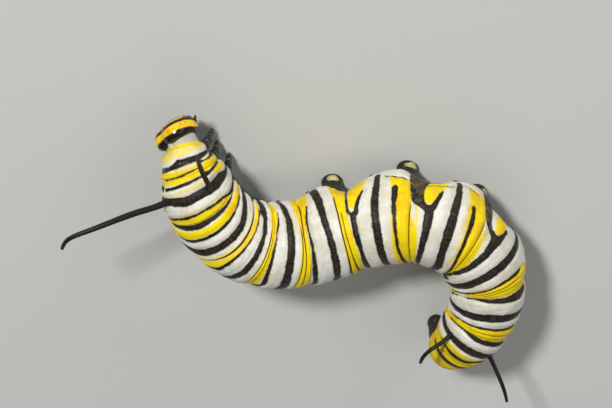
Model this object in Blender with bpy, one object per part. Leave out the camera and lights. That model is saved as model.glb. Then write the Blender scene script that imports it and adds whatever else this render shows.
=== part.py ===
"""Fifth-instar monarch larva as a still, life-size model, standing on its prolegs and true legs.

The body is one bent tube. Its axis is a natural spline through the stations below, and each ring of it
is tipped a little from square, as the rings of a bent larva are. Every segment, leg, antenna and
filament is a node of its own, with a gap of about 0.3 mm to its neighbour. Named sizes are in
millimetres and degrees, and MM turns them into Blender's metres.
"""

import math

import bmesh
import bpy
import numpy as np
from mathutils import Matrix, Vector

MM = 0.001
GAP = 0.3

# What brings the middle of the model's base to the origin: the empty that carries every part stands here.
ROOT_AT = (0.678, 0.494, 0.0)

# Body stations: place along the body in segments (0 is the front of the first thorax segment, 13 the tail),
# centre x, y, z, half width, lean of the back to the larva's right in degrees, and how far each ring is
# tipped along the body at its back and at its right side, as a share of the half width.
STATIONS = np.array((
    (-0.8, -9.35, 9.25, 3.05, 1.25, -8, -0.05, 0.00),
    (0.0, -8.92, 8.20, 3.75, 1.45, -8, 0.00, 0.00),
    (0.5, -8.61, 7.33, 4.10, 1.85, -8, -0.09, -0.05),
    (1.5, -8.04, 5.52, 4.70, 2.65, -10, 0.08, -0.17),
    (2.5, -6.95, 3.25, 5.10, 2.95, -8, 0.40, 0.11),
    (3.5, -4.88, 1.03, 5.20, 3.12, -4, 0.14, 0.07),
    (4.5, -2.07, 0.02, 4.90, 3.25, 0, 0.15, 0.14),
    (5.5, 1.32, 0.42, 4.50, 3.28, 0, 0.21, 0.15),
    (6.5, 5.63, 1.85, 4.35, 3.28, 0, -0.07, -0.06),
    (7.5, 10.10, 1.35, 4.35, 3.28, 0, -0.10, -0.14),
    (8.5, 12.92, -1.70, 4.45, 3.10, 0, -0.10, -0.12),
    (9.5, 13.38, -5.65, 4.65, 2.75, 0, -0.15, 0.00),
    (10.5, 12.20, -8.92, 4.55, 2.45, 0, -0.18, 0.05),
    (11.5, 11.48, -10.50, 3.80, 2.00, 0, -0.18, 0.05),
    (12.5, 10.83, -11.92, 2.85, 1.65, 0, -0.10, 0.00),
    (13.0, 10.53, -12.66, 2.35, 1.45, 0, -0.05, 0.00),
))
SEGMENTS = ("prothorax", "mesothorax", "metathorax") + tuple("abdomen_%d" % number for number in range(1, 11))
TAIL = 13.0
TAIL_DOME = (12.3, 13.03)
NECK_FRONT = -0.6
MOST_HALF_GAP = 0.11
SIDES = 26
RINGS = 7
RINGS_TO_ENDS = 0.05
SMALL_STEP = 0.002
CAP_ANGLE = 40

# The folds between segments and the flatter belly.
FOLD_DEPTH = 0.16
FOLD_HALF = 0.10
BELLY_FLAT = 0.04
BELLY_HALF = 40

# The places of the four pairs of prolegs along the body, and of the low swellings on each side above them.
# Each swelling stands ahead of its place and the body draws in behind it: how far from the place, angle from
# the back, height, and half lengths along and round the body.
PROLEGS = {3: 5.78, 4: 6.88, 5: 7.95, 6: 8.82}
SWELLINGS = (5.78, 6.86, 7.85, 8.79)
SWELL = (-0.12, 128, 0.42, 0.28, 24)
DRAW_IN = (0.35, 124, -0.52, 0.18, 26)

# Rings of a proleg from the sole up: height, way out from the midline, radius across and along the body.
PROLEG_RINGS = (
    (0.00, 1.55, 0.56, 0.66),
    (0.14, 1.56, 0.64, 0.76),
    (0.45, 1.55, 0.62, 0.73),
    (0.85, 1.50, 0.62, 0.70),
    (1.35, 1.40, 0.80, 0.88),
    (2.00, 1.30, 1.00, 1.08),
    (2.70, 1.20, 1.10, 1.20),
)
ANAL_AT = 12.4
ANAL_RINGS = (
    (0.00, 1.02, 0.48, 0.60),
    (0.14, 1.03, 0.56, 0.68),
    (0.50, 1.01, 0.54, 0.66),
    (1.00, 0.92, 0.60, 0.72),
    (1.60, 0.80, 0.70, 0.80),
    (2.20, 0.70, 0.72, 0.82),
)
PROLEG_SIDES = 14

# True legs from the claw up: height, way out, radius across and along, and way forward. The place is theirs
# along the body.
TRUE_LEGS = {
    1: (0.75, ((0.00, 1.62, 0.13, 0.13, -0.38), (0.42, 1.60, 0.25, 0.25, -0.32), (1.05, 1.42, 0.28, 0.28, -0.28),
               (1.75, 1.18, 0.38, 0.38, -0.25), (2.60, 0.85, 0.50, 0.50, -0.20), (3.20, 0.55, 0.52, 0.52, -0.15))),
    2: (1.50, ((0.00, 1.62, 0.13, 0.13, -0.10), (0.42, 1.62, 0.25, 0.25, -0.05), (1.10, 1.54, 0.29, 0.29, -0.08),
               (1.85, 1.38, 0.40, 0.40, -0.05), (2.70, 1.12, 0.52, 0.52, 0.00), (3.30, 0.86, 0.56, 0.56, 0.00))),
    3: (2.42, ((0.00, 1.95, 0.13, 0.13, 0.45), (0.42, 1.95, 0.25, 0.25, 0.48), (1.15, 1.82, 0.29, 0.29, 0.35),
               (1.95, 1.60, 0.40, 0.40, 0.18), (2.75, 1.30, 0.52, 0.52, 0.05), (3.40, 1.00, 0.56, 0.56, 0.00))),
}
LEG_SIDES = 10

# Filaments: centre line and radius at each point, the first one inside the body.
FILAMENTS = {
    "front_filament_left": (
        (-9.10, 5.25, 5.55, 0.36), (-10.10, 5.01, 6.30, 0.33), (-11.92, 4.90, 7.20, 0.27),
        (-13.66, 4.79, 8.10, 0.25), (-15.48, 4.44, 8.80, 0.22), (-16.86, 3.79, 8.90, 0.19),
        (-17.48, 2.39, 8.30, 0.15),
    ),
    "front_filament_right": (
        (-7.35, 6.05, 5.70, 0.36), (-6.92, 6.55, 6.60, 0.33), (-7.25, 8.62, 7.60, 0.27),
        (-7.49, 10.51, 8.70, 0.25), (-7.39, 11.79, 9.70, 0.21), (-6.87, 12.66, 10.40, 0.15),
    ),
    "rear_filament_left": (
        (11.60, -8.05, 5.40, 0.25), (10.88, -7.45, 6.20, 0.22), (10.05, -7.90, 6.70, 0.18),
        (9.38, -8.23, 7.00, 0.17), (8.81, -8.92, 7.00, 0.16), (8.58, -9.97, 6.60, 0.13),
    ),
    "rear_filament_right": (
        (12.90, -9.35, 5.30, 0.25), (13.75, -9.89, 5.90, 0.22), (14.15, -10.62, 6.20, 0.18),
        (14.53, -11.37, 6.60, 0.17), (14.95, -12.51, 6.80, 0.16), (15.23, -13.73, 6.80, 0.13),
    ),
}
FILAMENT_POINTS = 13

# The stretch of body that cuts each pair of limbs or filaments, in segments.
PROLEG_CUT = (-0.67, 0.73)
ANAL_CUT = (11.2, 13.0)
TRUE_LEG_CUT = (-0.9, 0.9)
FRONT_CUT = (0.7, 2.3)
REAR_CUT = (9.7, 11.3)
CUTTER_RINGS = 10

# Head: a dome, flatter behind, built with its face along +Y and its top along +Z, then set with the face
# turned to the left, leaning left and nodding down.
HEAD_AT = (-9.20, 8.78, 3.20)
HEAD_TURN = 57.0
HEAD_LEAN = 17.5
HEAD_NOD = 40.0
HEAD_HALF_WIDTH = 1.62
HEAD_HALF_HEIGHT = 1.56
HEAD_FRONT = 1.10
HEAD_BACK = 0.71
HEAD_POWER = 2.5
JAW_NARROW = 0.12
NOTCH_DEPTH = 0.12
NOTCH_HALF = 0.30
HEAD_SIDES = 28
HEAD_RINGS = 13
MOUTH_AT = (0.0, 0.62, -1.42)
MOUTH_HALF = (0.72, 0.46, 0.42)
ANTENNA_GAP = 0.15
ANTENNA_POINTS = (
    (1.20, -0.06, -0.77, 0.25), (1.30, 0.11, -0.90, 0.25), (1.38, 0.28, -1.02, 0.24), (1.44, 0.40, -1.11, 0.17),
    (1.48, 0.48, -1.17, 0.10),
)

# Colours and roughness from the photo. The skin's is the mean of its white, yellow and black bands.
SKIN = ("banded skin", (0.76, 0.70, 0.38), 0.45)
SHELL = ("glossy head shell", (0.70, 0.52, 0.03), 0.25)
BLACK = ("satin black cuticle", (0.020, 0.018, 0.017), 0.40)
GLOSSY = ("glossy black cuticle", (0.020, 0.018, 0.017), 0.20)


def natural_spline(knots, values, at):
    """Natural cubic spline through rows of values, at many places at once."""
    steps = np.diff(knots)
    size = len(knots)
    system = np.eye(size)
    right = np.zeros((size, values.shape[1]))
    for i in range(1, size - 1):
        system[i, i - 1:i + 2] = steps[i - 1], 2 * (steps[i - 1] + steps[i]), steps[i]
        right[i] = 6 * ((values[i + 1] - values[i]) / steps[i] - (values[i] - values[i - 1]) / steps[i - 1])
    bend = np.linalg.solve(system, right)
    i = np.clip(np.searchsorted(knots, at, side="right") - 1, 0, size - 2)
    step = steps[i][:, None]
    after = (at - knots[i])[:, None]
    before = step - after
    return (
        (bend[i] * before**3 + bend[i + 1] * after**3) / (6 * step)
        + (values[i] / step - bend[i] * step / 6) * before
        + (values[i + 1] / step - bend[i + 1] * step / 6) * after
    )


def body_values(u):
    return natural_spline(STATIONS[:, 0], STATIONS[:, 1:], np.atleast_1d(np.asarray(u, float)))


def body_frames(u):
    """Centre, tailward direction, back direction and right direction at places along the body."""
    u = np.atleast_1d(np.asarray(u, float))
    values = body_values(u)
    tailward = body_values(u + SMALL_STEP)[:, :3] - body_values(u - SMALL_STEP)[:, :3]
    tailward /= np.linalg.norm(tailward, axis=1)[:, None]
    up = np.array((0.0, 0.0, 1.0)) - tailward * tailward[:, 2:3]
    up /= np.linalg.norm(up, axis=1)[:, None]
    right = np.cross(-tailward, up)
    lean = np.radians(values[:, 4:5])
    back = up * np.cos(lean) + right * np.sin(lean)
    return values[:, :3], tailward, back, right * np.cos(lean) - up * np.sin(lean)


def hill(u, angle, at, degrees, height, long_half, wide_half):
    """A smooth low hill on both sides of the body."""
    away = (np.abs(angle) - math.radians(degrees)) / math.radians(wide_half)
    return height * np.exp(-(((u - at) / long_half) ** 2) - away**2)


def body_points(u, angle, lift=0.0, folds=1.0):
    """Points of the body's surface. The angle is 0 on the back and grows towards the larva's right."""
    u = np.atleast_1d(np.asarray(u, float))[:, None]
    angle = (np.atleast_1d(np.asarray(angle, float))[None, :] + math.pi) % (2 * math.pi) - math.pi
    centre, tailward, back, right = body_frames(u[:, 0])
    values = body_values(u[:, 0])
    belly = np.exp(-(((np.abs(angle) - math.pi) / math.radians(BELLY_HALF)) ** 2))
    domed = np.clip((u - TAIL_DOME[0]) / (TAIL_DOME[1] - TAIL_DOME[0]), 0, 1)
    radius = values[:, 3:4] * (1 - BELLY_FLAT * belly) * np.sqrt(1 - domed**2)
    nearest = np.clip(np.round(u), 1, 12)
    radius = radius - folds * FOLD_DEPTH * np.exp(-(((u - nearest) / FOLD_HALF) ** 2))
    for place in SWELLINGS:
        radius = radius + hill(u, angle, place + SWELL[0], *SWELL[1:])
        radius = radius + hill(u, angle, place + DRAW_IN[0], *DRAW_IN[1:])
    along = values[:, 5:6] * np.cos(angle) + values[:, 6:7] * np.sin(angle)
    spoke = (
        np.cos(angle)[..., None] * back[:, None]
        + np.sin(angle)[..., None] * right[:, None]
        + along[..., None] * tailward[:, None]
    )
    return centre[:, None] + (radius + lift)[..., None] * spoke


def fold_half_gaps():
    """Half of each gap in segments, wider where the inner side of a bend crowds the rings."""
    places = np.arange(TAIL + 1)
    angles = np.arange(SIDES) * 2 * math.pi / SIDES
    _, tailward, _, _ = body_frames(places)
    ahead = body_points(places - SMALL_STEP, angles, folds=0)
    behind = body_points(places + SMALL_STEP, angles, folds=0)
    crowded = ((behind - ahead) * tailward[:, None]).sum(axis=2).min(axis=1) / (2 * SMALL_STEP)
    return np.minimum(GAP / 2 / crowded, MOST_HALF_GAP)


def material(name, colour, roughness):
    found = bpy.data.materials.get(name)
    if found:
        return found
    found = bpy.data.materials.new(name)
    found.use_nodes = True
    shader = found.node_tree.nodes["Principled BSDF"]
    shader.inputs["Base Color"].default_value = (*colour, 1.0)
    shader.inputs["Roughness"].default_value = roughness
    found.diffuse_color = (*colour, 1.0)
    return found


def collection(name):
    found = bpy.data.collections.new(name)
    bpy.context.scene.collection.children.link(found)
    return found


def place(name, mesh, parent, surface, into):
    """The mesh as an object under its parent. A piece with no surface is a cutter or other helper."""
    mesh.shade_smooth()
    mesh.set_sharp_from_angle(angle=math.radians(CAP_ANGLE))
    obj = bpy.data.objects.new(name, mesh)
    into.objects.link(obj)
    obj.parent = parent
    if surface:
        mesh.materials.append(material(*surface))
    else:
        obj.hide_render = True
        obj.display_type = "WIRE"
    return obj


def loft(name, rings):
    """A closed mesh through equal rings, with a point in the middle of each end."""
    rings = np.asarray(rings) * MM
    count, sides, _ = rings.shape
    work = bmesh.new()
    loops = [[work.verts.new(point) for point in ring] for ring in rings.tolist()]
    ends = [work.verts.new(ring.mean(axis=0)) for ring in (rings[0], rings[-1])]
    for j in range(sides):
        k = (j + 1) % sides
        for i in range(count - 1):
            work.faces.new((loops[i][j], loops[i][k], loops[i + 1][k], loops[i + 1][j]))
        work.faces.new((ends[0], loops[0][k], loops[0][j]))
        work.faces.new((ends[1], loops[-1][j], loops[-1][k]))
    bmesh.ops.recalc_face_normals(work, faces=work.faces)
    mesh = bpy.data.meshes.new(name)
    work.to_mesh(mesh)
    work.free()
    return mesh


def body_length(name, places, lift=0.0, folds=1.0):
    """A length of the body between two places."""
    angles = np.arange(SIDES) * 2 * math.pi / SIDES
    return loft(name, body_points(places, angles, lift, folds))


def limb(name, at, sign, rings, sides):
    """A limb of level rings, from a flat sole on the floor up into the body."""
    centre, tailward, _, _ = body_frames(at)
    along = -tailward[0] * (1, 1, 0)
    along /= np.linalg.norm(along)
    outward = sign * np.cross(along, (0.0, 0.0, 1.0))
    turn = (np.arange(sides) * 2 * math.pi / sides)[:, None]
    loops = []
    for height, out, across, length, *forward in rings:
        middle = centre[0] * (1, 1, 0) + outward * out + along * sum(forward)
        loop = middle + across * np.cos(turn) * outward + length * np.sin(turn) * along
        loop[:, 2] = height
        loops.append(loop)
    return loft(name, loops)


def tapered_line(name, path, points):
    """A thin tapering tube through (x, y, z, radius) points: a bevelled curve, made a mesh to be cut."""
    path = np.asarray(path, float)
    reach = np.concatenate([[0.0], np.cumsum(np.linalg.norm(np.diff(path[:, :3], axis=0), axis=1))])
    path = natural_spline(reach, path, np.linspace(0.0, reach[-1], points))
    curve = bpy.data.curves.new(name + "_line", "CURVE")
    curve.dimensions = "3D"
    curve.bevel_depth = MM
    curve.bevel_resolution = 2
    curve.use_fill_caps = True
    spline = curve.splines.new("POLY")
    spline.points.add(points - 1)
    for point, row in zip(spline.points, path):
        point.co = (*(row[:3] * MM), 1.0)
        point.radius = row[3]
    line = bpy.data.objects.new(name + "_line", curve)
    bpy.context.scene.collection.objects.link(line)
    bpy.context.view_layer.update()
    mesh = bpy.data.meshes.new_from_object(line.evaluated_get(bpy.context.evaluated_depsgraph_get()))
    mesh.name = name
    bpy.data.objects.remove(line)
    work = bmesh.new()
    work.from_mesh(mesh)
    bmesh.ops.remove_doubles(work, verts=work.verts, dist=1e-7)
    bmesh.ops.recalc_face_normals(work, faces=work.faces)
    work.to_mesh(mesh)
    work.free()
    return mesh


def head_dome(name, lift=0.0):
    """A sphere reshaped into the head, with the notch between its two lobes at the top."""
    work = bmesh.new()
    poles_to_face = Matrix.Rotation(math.radians(90), 3, "X")
    bmesh.ops.create_uvsphere(work, u_segments=HEAD_SIDES, v_segments=HEAD_RINGS, radius=1.0)
    for vertex in work.verts:
        way = poles_to_face @ vertex.co
        half_depth = HEAD_FRONT if way.y > 0 else HEAD_BACK
        shares = (abs(way.x) / HEAD_HALF_WIDTH, abs(way.y) / half_depth, abs(way.z) / HEAD_HALF_HEIGHT)
        reach = sum(share**HEAD_POWER for share in shares) ** (-1 / HEAD_POWER)
        top = max(way.z, 0) ** 2
        reach *= 1 - NOTCH_DEPTH * top * math.exp(-((way.x / NOTCH_HALF) ** 2))
        point = way * reach
        point.x *= 1 - JAW_NARROW * max(-way.z, 0) ** 2
        vertex.co = (point + point.normalized() * lift) * MM
    bmesh.ops.recalc_face_normals(work, faces=work.faces)
    mesh = bpy.data.meshes.new(name)
    work.to_mesh(mesh)
    work.free()
    return mesh


def mouth_lump(name):
    """The labrum and the jaws as one low lump under the face."""
    work = bmesh.new()
    bmesh.ops.create_icosphere(work, subdivisions=2, radius=MM)
    bmesh.ops.scale(work, vec=MOUTH_HALF, verts=work.verts)
    bmesh.ops.translate(work, vec=Vector(MOUTH_AT) * MM, verts=work.verts)
    mesh = bpy.data.meshes.new(name)
    work.to_mesh(mesh)
    work.free()
    return mesh


def boolean(obj, other, operation):
    step = obj.modifiers.new(other.name, "BOOLEAN")
    step.operation = operation
    step.solver = "EXACT"
    step.object = other


def empty(name, parent, into):
    found = bpy.data.objects.new(name, None)
    into.objects.link(found)
    found.parent = parent
    return found


def add_head(root, parts, cutters):
    """The head, its mouth and its antennae, under an empty that sets them. Returns the neck's cutter."""
    stand = empty("head_stand", root, parts)
    stand.location = Vector(HEAD_AT) * MM
    turns = ((HEAD_TURN, "Z"), (-HEAD_LEAN, "Y"), (-HEAD_NOD, "X"))
    pose = Matrix.Identity(3)
    for degrees, axis in turns:
        pose = pose @ Matrix.Rotation(math.radians(degrees), 3, axis)
    stand.rotation_euler = pose.to_euler()
    head = place("head", head_dome("head"), stand, SHELL, parts)
    boolean(head, place("mouth_lump", mouth_lump("mouth_lump"), stand, None, cutters), "UNION")
    near = place("antenna_cutter", head_dome("antenna_cutter", ANTENNA_GAP), stand, None, cutters)
    for side, sign in (("left", -1), ("right", 1)):
        path = np.array(ANTENNA_POINTS) * (sign, 1, 1, 1)
        name = "antenna_" + side
        antenna = place(name, tapered_line(name, path, len(path)), stand, BLACK, parts)
        boolean(antenna, near, "DIFFERENCE")
    return place("neck_cutter", head_dome("neck_cutter", GAP), stand, None, cutters)


def add_body(root, parts, neck_cutter):
    half_gaps = fold_half_gaps()
    share = np.linspace(0, 1, RINGS)
    share += RINGS_TO_ENDS * np.sin(2 * math.pi * share)
    for k, name in enumerate(SEGMENTS):
        first = k + half_gaps[k] if k else NECK_FRONT
        last = k + 1 - half_gaps[k + 1] if k + 1 < TAIL else TAIL
        segment = place(name, body_length(name, first + (last - first) * share), root, SKIN, parts)
        if not k:
            boolean(segment, neck_cutter, "DIFFERENCE")


def add_cutter(root, cutters, name, at, stretch):
    """The body around a place, larger by the gap, for what grows out of it there."""
    first, last = stretch
    mesh = body_length(name, np.linspace(at + first, at + last, CUTTER_RINGS), lift=GAP, folds=0.0)
    return place(name, mesh, root, None, cutters)


def add_pair(root, parts, name, at, rings, sides, surface, near):
    for side, sign in (("left", -1), ("right", 1)):
        full_name = "%s_%s" % (name, side)
        leg = place(full_name, limb(full_name, at, sign, rings, sides), root, surface, parts)
        boolean(leg, near, "DIFFERENCE")


def add_limbs(root, parts, cutters):
    for number, at in PROLEGS.items():
        near = add_cutter(root, cutters, "proleg_cutter_%d" % number, at, PROLEG_CUT)
        add_pair(root, parts, "proleg_%d" % number, at, PROLEG_RINGS, PROLEG_SIDES, BLACK, near)
    near = add_cutter(root, cutters, "anal_cutter", 0.0, ANAL_CUT)
    add_pair(root, parts, "anal_proleg", ANAL_AT, ANAL_RINGS, PROLEG_SIDES, BLACK, near)
    for number, (at, rings) in TRUE_LEGS.items():
        near = add_cutter(root, cutters, "leg_cutter_%d" % number, at, TRUE_LEG_CUT)
        add_pair(root, parts, "leg_%d" % number, at, rings, LEG_SIDES, GLOSSY, near)


def add_filaments(root, parts, cutters):
    front = add_cutter(root, cutters, "front_cutter", 0.0, FRONT_CUT)
    rear = add_cutter(root, cutters, "rear_cutter", 0.0, REAR_CUT)
    for name, path in FILAMENTS.items():
        filament = place(name, tapered_line(name, path, FILAMENT_POINTS), root, BLACK, parts)
        boolean(filament, front if name.startswith("front") else rear, "DIFFERENCE")


def main():
    for obj in list(bpy.data.objects):
        bpy.data.objects.remove(obj)
    parts = collection("monarch_larva")
    cutters = collection("cutters")
    root = empty("larva_root", None, parts)
    root.location = Vector(ROOT_AT) * MM
    neck_cutter = add_head(root, parts, cutters)
    add_body(root, parts, neck_cutter)
    add_limbs(root, parts, cutters)
    add_filaments(root, parts, cutters)


if __name__ == "__main__":
    main()
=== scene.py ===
"""Fifth-instar monarch larva: the finished surfaces of the still, life-size model.

Sizes in the tables are in millimetres and degrees, in part.py's coordinates, and MM turns them into
metres. A place along the body is given in segments (0 is the front of the first thorax segment, 13 the
tail), and an angle round it is 0 on the back and grows towards the larva's right.
"""

import math

import bpy
import numpy as np
from bpy.props import FloatProperty, FloatVectorProperty, PointerProperty
from mathutils import Matrix


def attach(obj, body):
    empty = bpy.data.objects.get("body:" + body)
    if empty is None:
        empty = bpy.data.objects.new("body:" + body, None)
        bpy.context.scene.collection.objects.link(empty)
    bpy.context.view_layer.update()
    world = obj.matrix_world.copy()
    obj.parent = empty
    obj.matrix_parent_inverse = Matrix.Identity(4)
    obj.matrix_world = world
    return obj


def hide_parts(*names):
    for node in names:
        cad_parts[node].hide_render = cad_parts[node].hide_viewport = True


bl_info = {
    "name": "Monarch Larva",
    "version": (1, 0, 0),
    "blender": (4, 5, 0),
    "location": "3D View > Sidebar > Larva",
    "description": "Builds a life-size monarch larva in its banded skin, with its studio stage",
    "category": "Object",
}

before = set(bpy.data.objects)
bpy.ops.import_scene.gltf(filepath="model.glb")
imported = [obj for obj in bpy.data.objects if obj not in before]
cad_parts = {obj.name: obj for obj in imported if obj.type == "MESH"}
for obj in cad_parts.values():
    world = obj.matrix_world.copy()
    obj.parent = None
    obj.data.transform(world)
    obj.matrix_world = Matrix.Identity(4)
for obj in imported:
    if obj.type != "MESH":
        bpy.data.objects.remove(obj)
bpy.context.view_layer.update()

MM = 0.001
ROOT_AT = np.array((0.678, 0.494, 0.0))

# The photo's width in pixels, and how the camera sees the larva in it. The clip distances are in metres.
PHOTO_WIDTH = 612
CAMERA_ELEVATION = 52.0
CAMERA_DISTANCE = 200.0
PIXELS_PER_MM = 13.4
SENSOR_WIDTH = 36.0
CAMERA_CLIP = (0.01, 10.0)

# The stage in metres: half the floor's width, and the lights with their places, widths and power in watts.
FLOOR_HALF = 2.0
LIGHTS = (
    ("key_light", (-0.135, 0.31, 0.30), 0.06, 1.62),
    ("fill_light", (0.30, 0.10, 0.30), 0.30, 0.20),
    ("side_light", (0.24, 0.34, 0.10), 0.25, 0.34),
    ("back_light", (0.02, -0.30, 0.25), 0.30, 0.12),
)
STUDIO_COLOUR = (0.9, 0.93, 1.0, 1.0)
STUDIO_STRENGTH = 0.15

# Body stations, as in part.py: place, centre x, y, z, half width, lean of the back to the right, and how
# far each ring is tipped along the body at its back and at its right side, as a share of the half width.
STATIONS = np.array((
    (-0.8, -9.35, 9.25, 3.05, 1.25, -8, -0.05, 0.00),
    (0.0, -8.92, 8.20, 3.75, 1.45, -8, 0.00, 0.00),
    (0.5, -8.61, 7.33, 4.10, 1.85, -8, -0.09, -0.05),
    (1.5, -8.04, 5.52, 4.70, 2.65, -10, 0.08, -0.17),
    (2.5, -6.95, 3.25, 5.10, 2.95, -8, 0.40, 0.11),
    (3.5, -4.88, 1.03, 5.20, 3.12, -4, 0.14, 0.07),
    (4.5, -2.07, 0.02, 4.90, 3.25, 0, 0.15, 0.14),
    (5.5, 1.32, 0.42, 4.50, 3.28, 0, 0.21, 0.15),
    (6.5, 5.63, 1.85, 4.35, 3.28, 0, -0.07, -0.06),
    (7.5, 10.10, 1.35, 4.35, 3.28, 0, -0.10, -0.14),
    (8.5, 12.92, -1.70, 4.45, 3.10, 0, -0.10, -0.12),
    (9.5, 13.38, -5.65, 4.65, 2.75, 0, -0.15, 0.00),
    (10.5, 12.20, -8.92, 4.55, 2.45, 0, -0.18, 0.05),
    (11.5, 11.48, -10.50, 3.80, 2.00, 0, -0.18, 0.05),
    (12.5, 10.83, -11.92, 2.85, 1.65, 0, -0.10, 0.00),
    (13.0, 10.53, -12.66, 2.35, 1.45, 0, -0.05, 0.00),
))
SEGMENTS = ("prothorax", "mesothorax", "metathorax") + tuple("abdomen_%d" % k for k in range(1, 11))
# Where the body is widest and where it ends, from where to where the tail is rounded off, and the small
# step that finds a direction along the body.
WIDEST_AT = 5.5
TAIL = 13.0
TAIL_DOME = (12.3, 13.03)
SMALL_STEP = 0.002
# The fold at each joint, with its depth and half length, and the flatter belly: by what share of the radius,
# and over how many degrees.
FOLD_DEPTH = 0.20
FOLD_HALF = 0.085
BELLY_FLAT = 0.04
BELLY_HALF = 40
# Low hills on both sides: the places of the prolegs, and for the swelling over each and for the hollow
# behind it: how far behind that place it lies, its angle, its height, and its half length and half width.
SWELLINGS = (5.78, 6.86, 7.85, 8.79)
SWELL = (-0.12, 128, 0.42, 0.28, 24)
DRAW_IN = (0.35, 124, -0.52, 0.18, 26)

# The skin's grid, whose rings crowd round each joint: by how much, how far behind it and over what
# distance. They are placed on a finer row of steps, so many to a ring.
SKIN_RINGS = 820
SKIN_SIDES = 120
RING_CROWD = (2.2, -0.10, 0.13)
RING_STEPS = 20

# The neck runs straight from under the head's rear rim, and steps up to the collar of the first segment. It
# has its places at both ends, and the share of the body's ring that it is drawn in to. The rim is an angle
# from the face's axis, less at the top than below, at the sides and in the notch on top of the head. The
# neck starts a little under the shell.
NECK_FRONT = -0.34
NECK_END = 0.30
NECK_SHARE = 0.84
NECK_RIM = 115.0
NECK_RIM_CHANGE = 4.0
NECK_SIDE = 4.0
NECK_NOTCH = 9.0
NECK_NOTCH_HALF = 9.0
NECK_UNDER = 0.07
# Front edge of the collar as rows of (angle, place), and where its step starts and ends behind that edge.
COLLAR_EDGE = (
    (-180, 0.10), (-100, 0.05), (-60, -0.03), (-21, -0.12), (-5, -0.17), (38, -0.13), (60, -0.06), (80, 0.03),
    (120, 0.08), (180, 0.10),
)
COLLAR_STEP = (-0.02, 0.13)

# Fine folds across each segment: place within it, depth and half length. They sway as they run round: how
# far, how many times, and how far each segment's sway is turned from the last one's. They fade in behind
# the neck and out before the tail.
ANNULETS = (
    (0.17, 0.030, 0.030), (0.30, 0.022, 0.026), (0.64, 0.020, 0.028), (0.76, 0.030, 0.026),
    (0.88, 0.045, 0.030),
)
ANNULET_SWAY = ((0.012, 3, 2.1), (0.008, 7, -1.3))
ANNULET_FADE_IN = 0.4
ANNULETS_END = 12.4
ANNULET_FADE_OUT = 0.5

# How far outside a band counts as outside all of them, in millimetres.
FAR = 9.0
# A band's rows start this many degrees past the middle where they are repeated on the other side.
MIRROR_GAP = 10

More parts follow.
